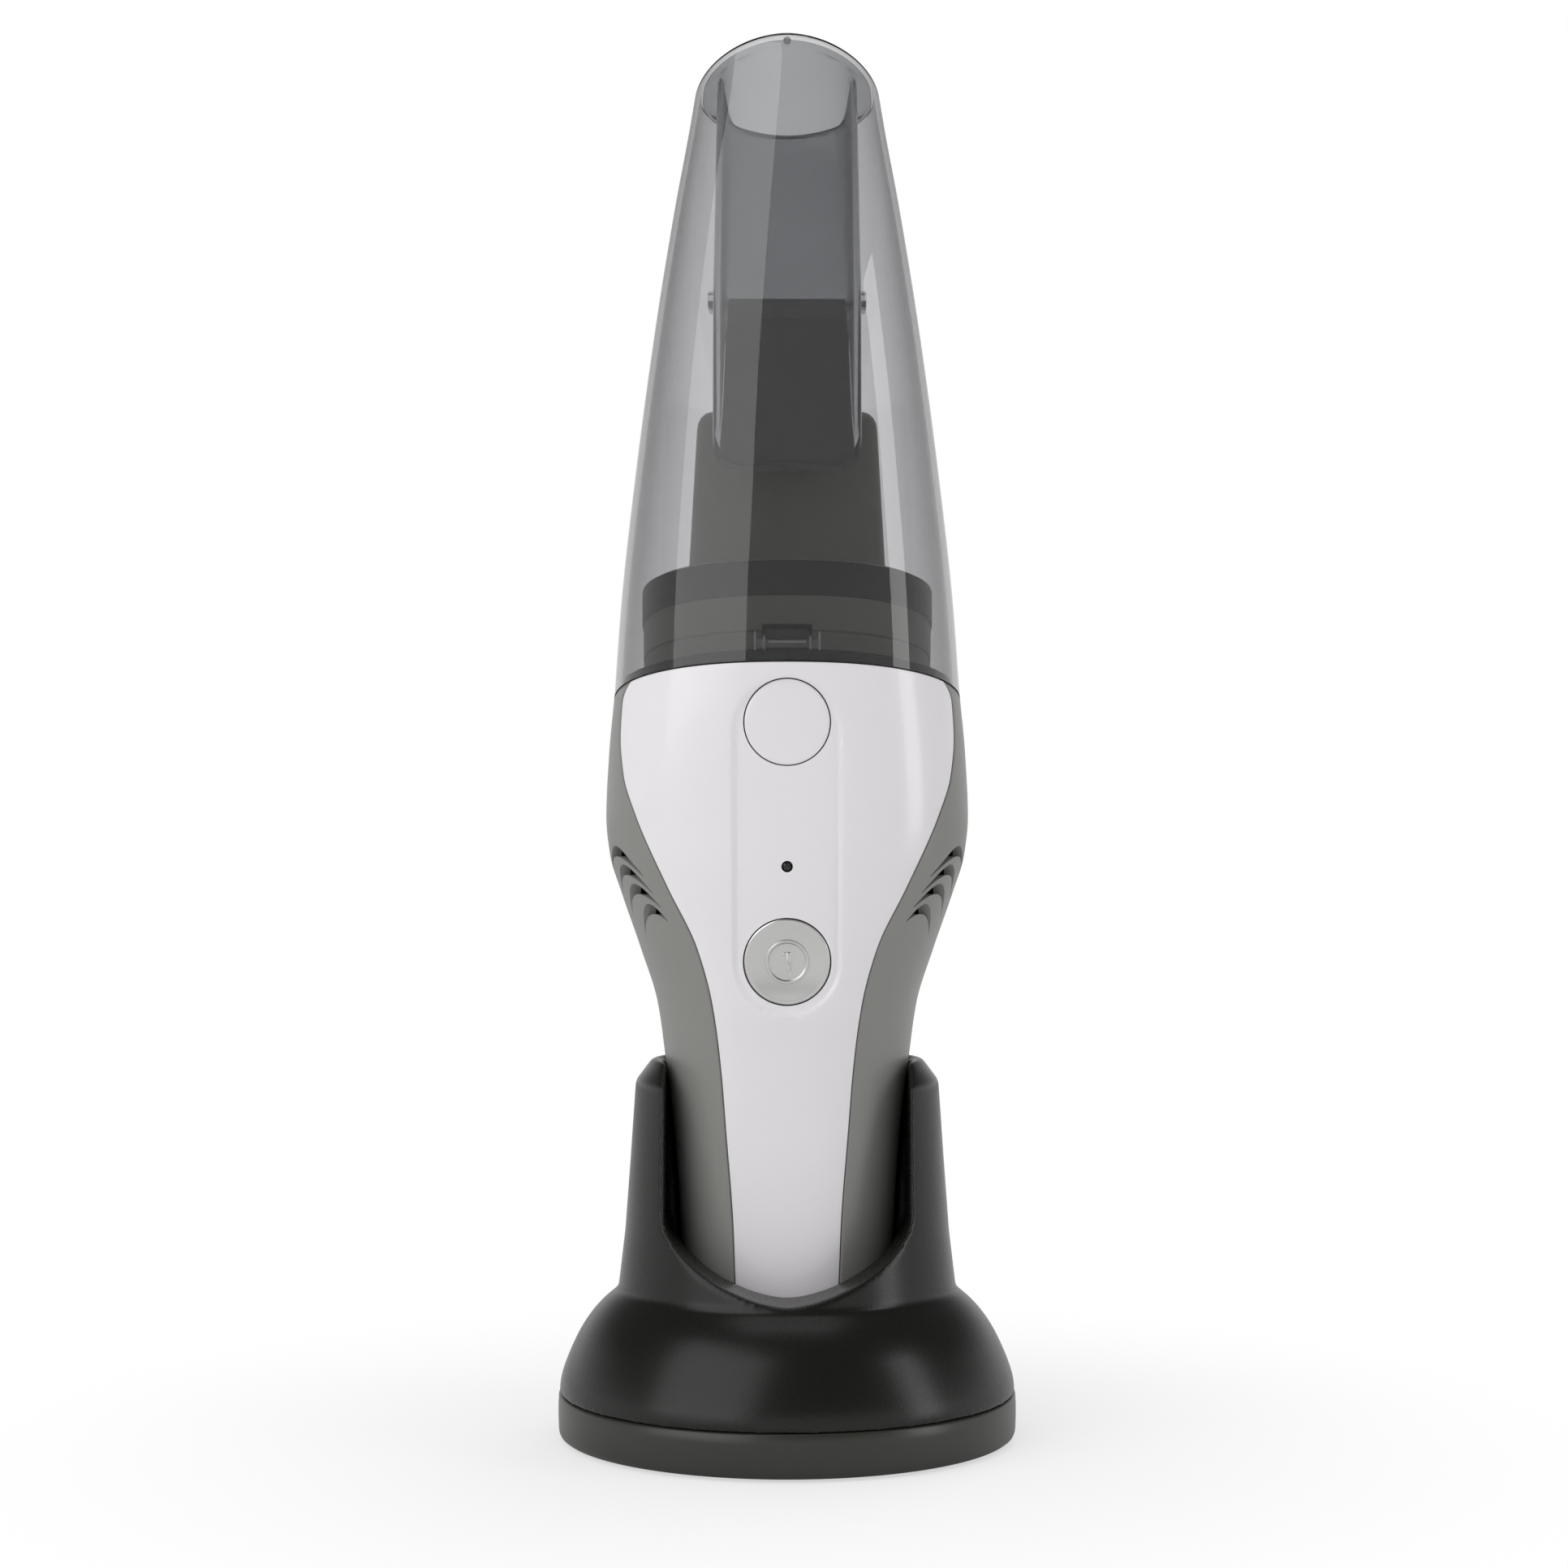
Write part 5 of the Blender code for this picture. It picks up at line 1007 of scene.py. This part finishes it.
@dataclass
class Stand(Assembly):
    """The base's band and the domed cradle."""

    body: str = "stand"
    radius: float = 66.7 * MM
    voxel: float = 0.74 * MM

    def base(self) -> Item:
        """The base tray with its band, spun, with the notch for the DC inlet."""
        r = self.radius / MM
        profile = [(0.0, 3.2), (r - 2.4, 3.2), (r - 2.4, 13.3), (r - 0.9, 13.3), (r - 0.45, 13.15),
                   (r - 0.15, 12.7), (r - 0.02, 10.0), (r, 6.8), (r - 0.1, 3.4), (r - 0.25, 2.2),
                   (r - 0.6, 1.4), (r - 1.2, 0.95), (r - 2.0, 0.8), (60.0, 0.8), (60.0, 2.4),
                   (52.0, 2.4), (52.0, 0.8), (0.0, 0.8)]
        item = as_object("stand_base_tray", spun([(x * MM, z * MM) for x, z in profile], 180))
        notch = block(mm(-5.3, 53, 3.3), mm(5.3, 72, 14.3))
        # The band's lighter colour is painted sheen on the stand's black satin.
        return self.keep(carved(item, [notch]), BAND_PAINTED_SHEEN, "stand_base", slot="black_satin")

    def scoop(self) -> Shape:
        """The cradle's front opening, a U seen from the front."""
        right = [(34.8 * MM, 130 * MM)]
        for i in range(33):
            turn = pi / 2 * i / 32
            right.append((34.8 * MM * max(cos(turn), 0.0) ** 1.25, (66.0 - 21.5 * sin(turn) ** 1.25) * MM))
        outline = [Vector((x, -90 * MM, z)) for x, z in right]
        outline += [Vector((-x, -90 * MM, z)) for x, z in reversed(right) if x > 1e-6]
        return pushed(outline, Vector((0, 84 * MM, 0)))

    def cradle(self) -> Item:
        """Dome and half-pipe arms, with the socket that takes the handle."""
        dome = Stations(1, ((13.6, 66.4), (17.4, 65.9), (21.6, 64.6), (26.0, 62.8),
                         (31.2, 60.2), (35.9, 57.0), (39.6, 53.6), (42.8, 49.8),
                         (43.4, 49.3), (103.6, 44.2)))
        heights = [13.3 + 29.5 * i / 26 for i in range(27)] + [43.1, 43.6, 44.5, 60.0, 80.0, 103.6]
        profile = [(0.0, 13.3 * MM)] + [(dome.at(height * MM)[0], height * MM) for height in heights]
        profile += [(39.4 * MM, 110 * MM), (0.0, 110 * MM)]
        item = as_object("stand_cradle_body", spun(profile, 200))
        levels = [20.0 + 5.0 * (1 - cos(pi * i / 12)) for i in range(7)]
        levels += [25 + 105 * i / 40 for i in range(1, 41)]
        socket = [(replace(CASING.section(height * MM), height=height * MM), -1.0 * MM) for height in levels]
        socket[0] = (replace(socket[0][0], height=19 * MM), -1.0 * MM)
        well = block(mm(-12.3, -8.5, 6), mm(12.3, 2.1, 24))
        carved(item, [loft(socket, 160, close_start=True, close_end=True), self.scoop(), well])
        blocks = item.modifiers.new("blocks", "REMESH")
        blocks.mode, blocks.voxel_size, blocks.use_smooth_shade = "VOXEL", self.voxel, True
        soften = item.modifiers.new("soften", "SMOOTH")
        soften.factor, soften.iterations = 0.5, 12
        applied(item)
        item.data.shade_smooth()
        return self.keep(item, BLACK_SATIN, "stand_cradle")

    def build(self) -> None:
        """Build band and cradle."""
        self.base()
        self.cradle()


# ---------------------------------------------------------------- carried-over CAD nodes

NODE_FINISHES: dict[str, Finish] = {
    **dict.fromkeys(("bulkhead", "fan_shroud", "motor_mount", "impeller", "battery_holder", "power_switch",
                     "release_latch", "contact_block", "dc_socket"), BLACK_PLASTIC),
    **dict.fromkeys(("cup_seal", "filter_gasket", "non_slip_ring"), BLACK_RUBBER),
    "filter_element": FILTER_CLOTH,
    **dict.fromkeys(("motor_can", "motor_shaft", "flap_hinge_pin"), BRIGHT_STEEL),
    **dict.fromkeys(("motor_bearing", "charge_contact_left", "charge_contact_right", "charging_pin_left",
                     "charging_pin_right"), BRASS),
    "circuit_board": GREEN_BOARD,
    **{f"battery_cell_{i}": CELL_SLEEVE for i in range(1, 5)},
    **{f"housing_screw_{i}": BRIGHT_STEEL for i in range(1, 5)},
    **{f"stand_screw_{i}": BRIGHT_STEEL for i in range(1, 4)},
}


def dress_cad_nodes() -> None:
    """Give every CAD node that still shows its finish."""
    for name, finish in NODE_FINISHES.items():
        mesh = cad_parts[name].data
        mesh.materials.clear()
        mesh.materials.append(finish.material())
    LOG.info("dressed %d CAD nodes", len(NODE_FINISHES))


# ---------------------------------------------------------------- studio

@dataclass(frozen=True)
class Lamp:
    """A soft area lamp that looks at a point of the object."""

    name: str
    place: tuple[float, float, float]
    aim: tuple[float, float, float]
    size: tuple[float, float]
    power: float
    mirrored: bool = True

    def build(self) -> Item:
        """Make the lamp."""
        data = bpy.data.lights.new(self.name, "AREA")
        data.shape = "RECTANGLE"
        data.size, data.size_y = self.size
        data.energy = self.power
        item = bpy.data.objects.new(self.name, data)
        item.location = self.place
        item.rotation_euler = (Vector(self.aim) - Vector(self.place)).to_track_quat("-Z", "Y").to_euler()
        item.visible_transmission = False
        item.visible_glossy = self.mirrored
        bpy.context.scene.collection.objects.link(item)
        return item


@dataclass(frozen=True)
class Studio:
    """Camera, lamps, pale floor and white surroundings."""

    distance: float = 0.85
    eye_height: float = 0.174
    lens: float = 66.7
    shift: tuple[float, float] = (-0.002, 0.035)
    fill: float = 0.46
    mirror: tuple[float, float] = (0.85, 0.10)
    mirror_span: tuple[float, float] = (0.05, 0.45)
    glow: tuple[float, float] = (0.60, 1.0)
    glow_span: tuple[float, float] = (0.04, 0.26)
    lamps: tuple[Lamp, ...] = (
        Lamp("key", (-0.86, -0.86, 0.80), (0, 0, 0.2), (1.3, 1.4), 10.5),
        Lamp("side", (1.05, -0.35, 0.45), (0, 0, 0.2), (0.3, 0.9), 2.6),
        Lamp("back", (0.55, 1.10, 0.90), (0, 0, 0.2), (0.8, 0.9), 4.0, mirrored=False),
        Lamp("top", (0.0, 0.1, 1.35), (0, 0, 0.2), (0.8, 0.8), 2.2),
    )

    def camera(self) -> None:
        """The camera, level, in front of the buttons."""
        data = bpy.data.cameras.new("camera")
        data.lens, data.sensor_width = self.lens, 36.0
        data.shift_x, data.shift_y = self.shift
        data.clip_start, data.clip_end = 0.05, 50.0
        item = bpy.data.objects.new("camera", data)
        item.location = (0.0, -self.distance, self.eye_height)
        item.rotation_euler = (pi / 2, 0.0, 0.0)
        bpy.context.scene.collection.objects.link(item)
        bpy.context.scene.camera = item

    @staticmethod
    def ray(tree: Tree, *names: str) -> Socket:
        """1 for rays of any of the named kinds, and 0 for all others."""
        path = tree.nodes.new("ShaderNodeLightPath")
        value = path.outputs[names[0]]
        for name in names[1:]:
            value = computed(tree, "MAXIMUM", value, path.outputs[name])
        return value

    def horizon(self, tree: Tree) -> Socket:
        """What a shiny surface mirrors: white near the horizon, dim overhead."""
        split = tree.nodes.new("ShaderNodeSeparateXYZ")
        tree.links.new(tree.nodes.new("ShaderNodeTexCoord").outputs["Generated"], split.inputs["Vector"])
        height = computed(tree, "ABSOLUTE", split.outputs["Z"])
        return ranged(tree, height, self.mirror, self.mirror_span, "SMOOTHSTEP")

    def world(self) -> None:
        """White where it is seen, dim in reflections, and a soft light on the object."""
        world = bpy.data.worlds.new("surroundings")
        bpy.context.scene.world = world
        world.use_nodes = True
        tree = world.node_tree
        soft = tree.nodes["Background"]
        soft.inputs["Color"].default_value = (1.0, 1.0, 1.0, 1.0)
        soft.inputs["Strength"].default_value = self.fill
        shader = soft.outputs["Background"]
        for kinds in (("Is Glossy Ray",), ("Is Camera Ray", "Is Transmission Ray")):
            other = tree.nodes.new("ShaderNodeBackground")
            other.inputs["Color"].default_value = (1.0, 1.0, 1.0, 1.0)
            if kinds[0] == "Is Glossy Ray":
                tree.links.new(self.horizon(tree), other.inputs["Strength"])
            shader = mixed(tree, self.ray(tree, *kinds), shader, other.outputs["Background"])
        tree.links.new(shader, tree.nodes["World Output"].inputs["Surface"])

    def floor(self) -> None:
        """A plain pale floor that keeps the object's shadow."""
        shape = bmesh.new()
        bmesh.ops.create_grid(shape, x_segments=1, y_segments=1, size=6.0)
        item = as_object("floor", shape)
        material = bpy.data.materials.new("pale_floor")
        material.use_nodes = True
        tree = material.node_tree
        tree.nodes.remove(tree.nodes["Principled BSDF"])
        matt = tree.nodes.new("ShaderNodeBsdfDiffuse")
        matt.inputs["Color"].default_value = (0.86, 0.86, 0.86, 1.0)
        glow = tree.nodes.new("ShaderNodeEmission")
        where = tree.nodes.new("ShaderNodeTexCoord").outputs["Object"]
        away = tree.nodes.new("ShaderNodeVectorMath")
        away.operation = "LENGTH"
        tree.links.new(where, away.inputs[0])
        fade = ranged(tree, away.outputs["Value"], self.glow, self.glow_span, "SMOOTHSTEP")
        share = computed(tree, "MULTIPLY", self.ray(tree, "Is Camera Ray", "Is Transmission Ray"), fade)
        surface = mixed(tree, share, matt.outputs["BSDF"], glow.outputs["Emission"])
        tree.links.new(surface, tree.nodes["Material Output"].inputs["Surface"])
        item.data.materials.append(material)

    def build(self) -> None:
        """Set up the whole studio."""
        self.camera()
        self.world()
        self.floor()
        for lamp in self.lamps:
            lamp.build()
        bpy.context.scene.view_settings.view_transform = "Standard"
        LOG.info("studio ready with %d lamps", len(self.lamps))


def main() -> None:
    """Build the sub-assemblies in order, dress the CAD nodes and set up the studio."""
    logging.basicConfig(level=logging.INFO, format="%(name)s: %(message)s")
    for assembly in (Stand(), Casing(), Buttons(), DustCup(), Filter()):
        assembly.build()
    dress_cad_nodes()
    Studio().build()


if __name__ == "__main__":
    main()
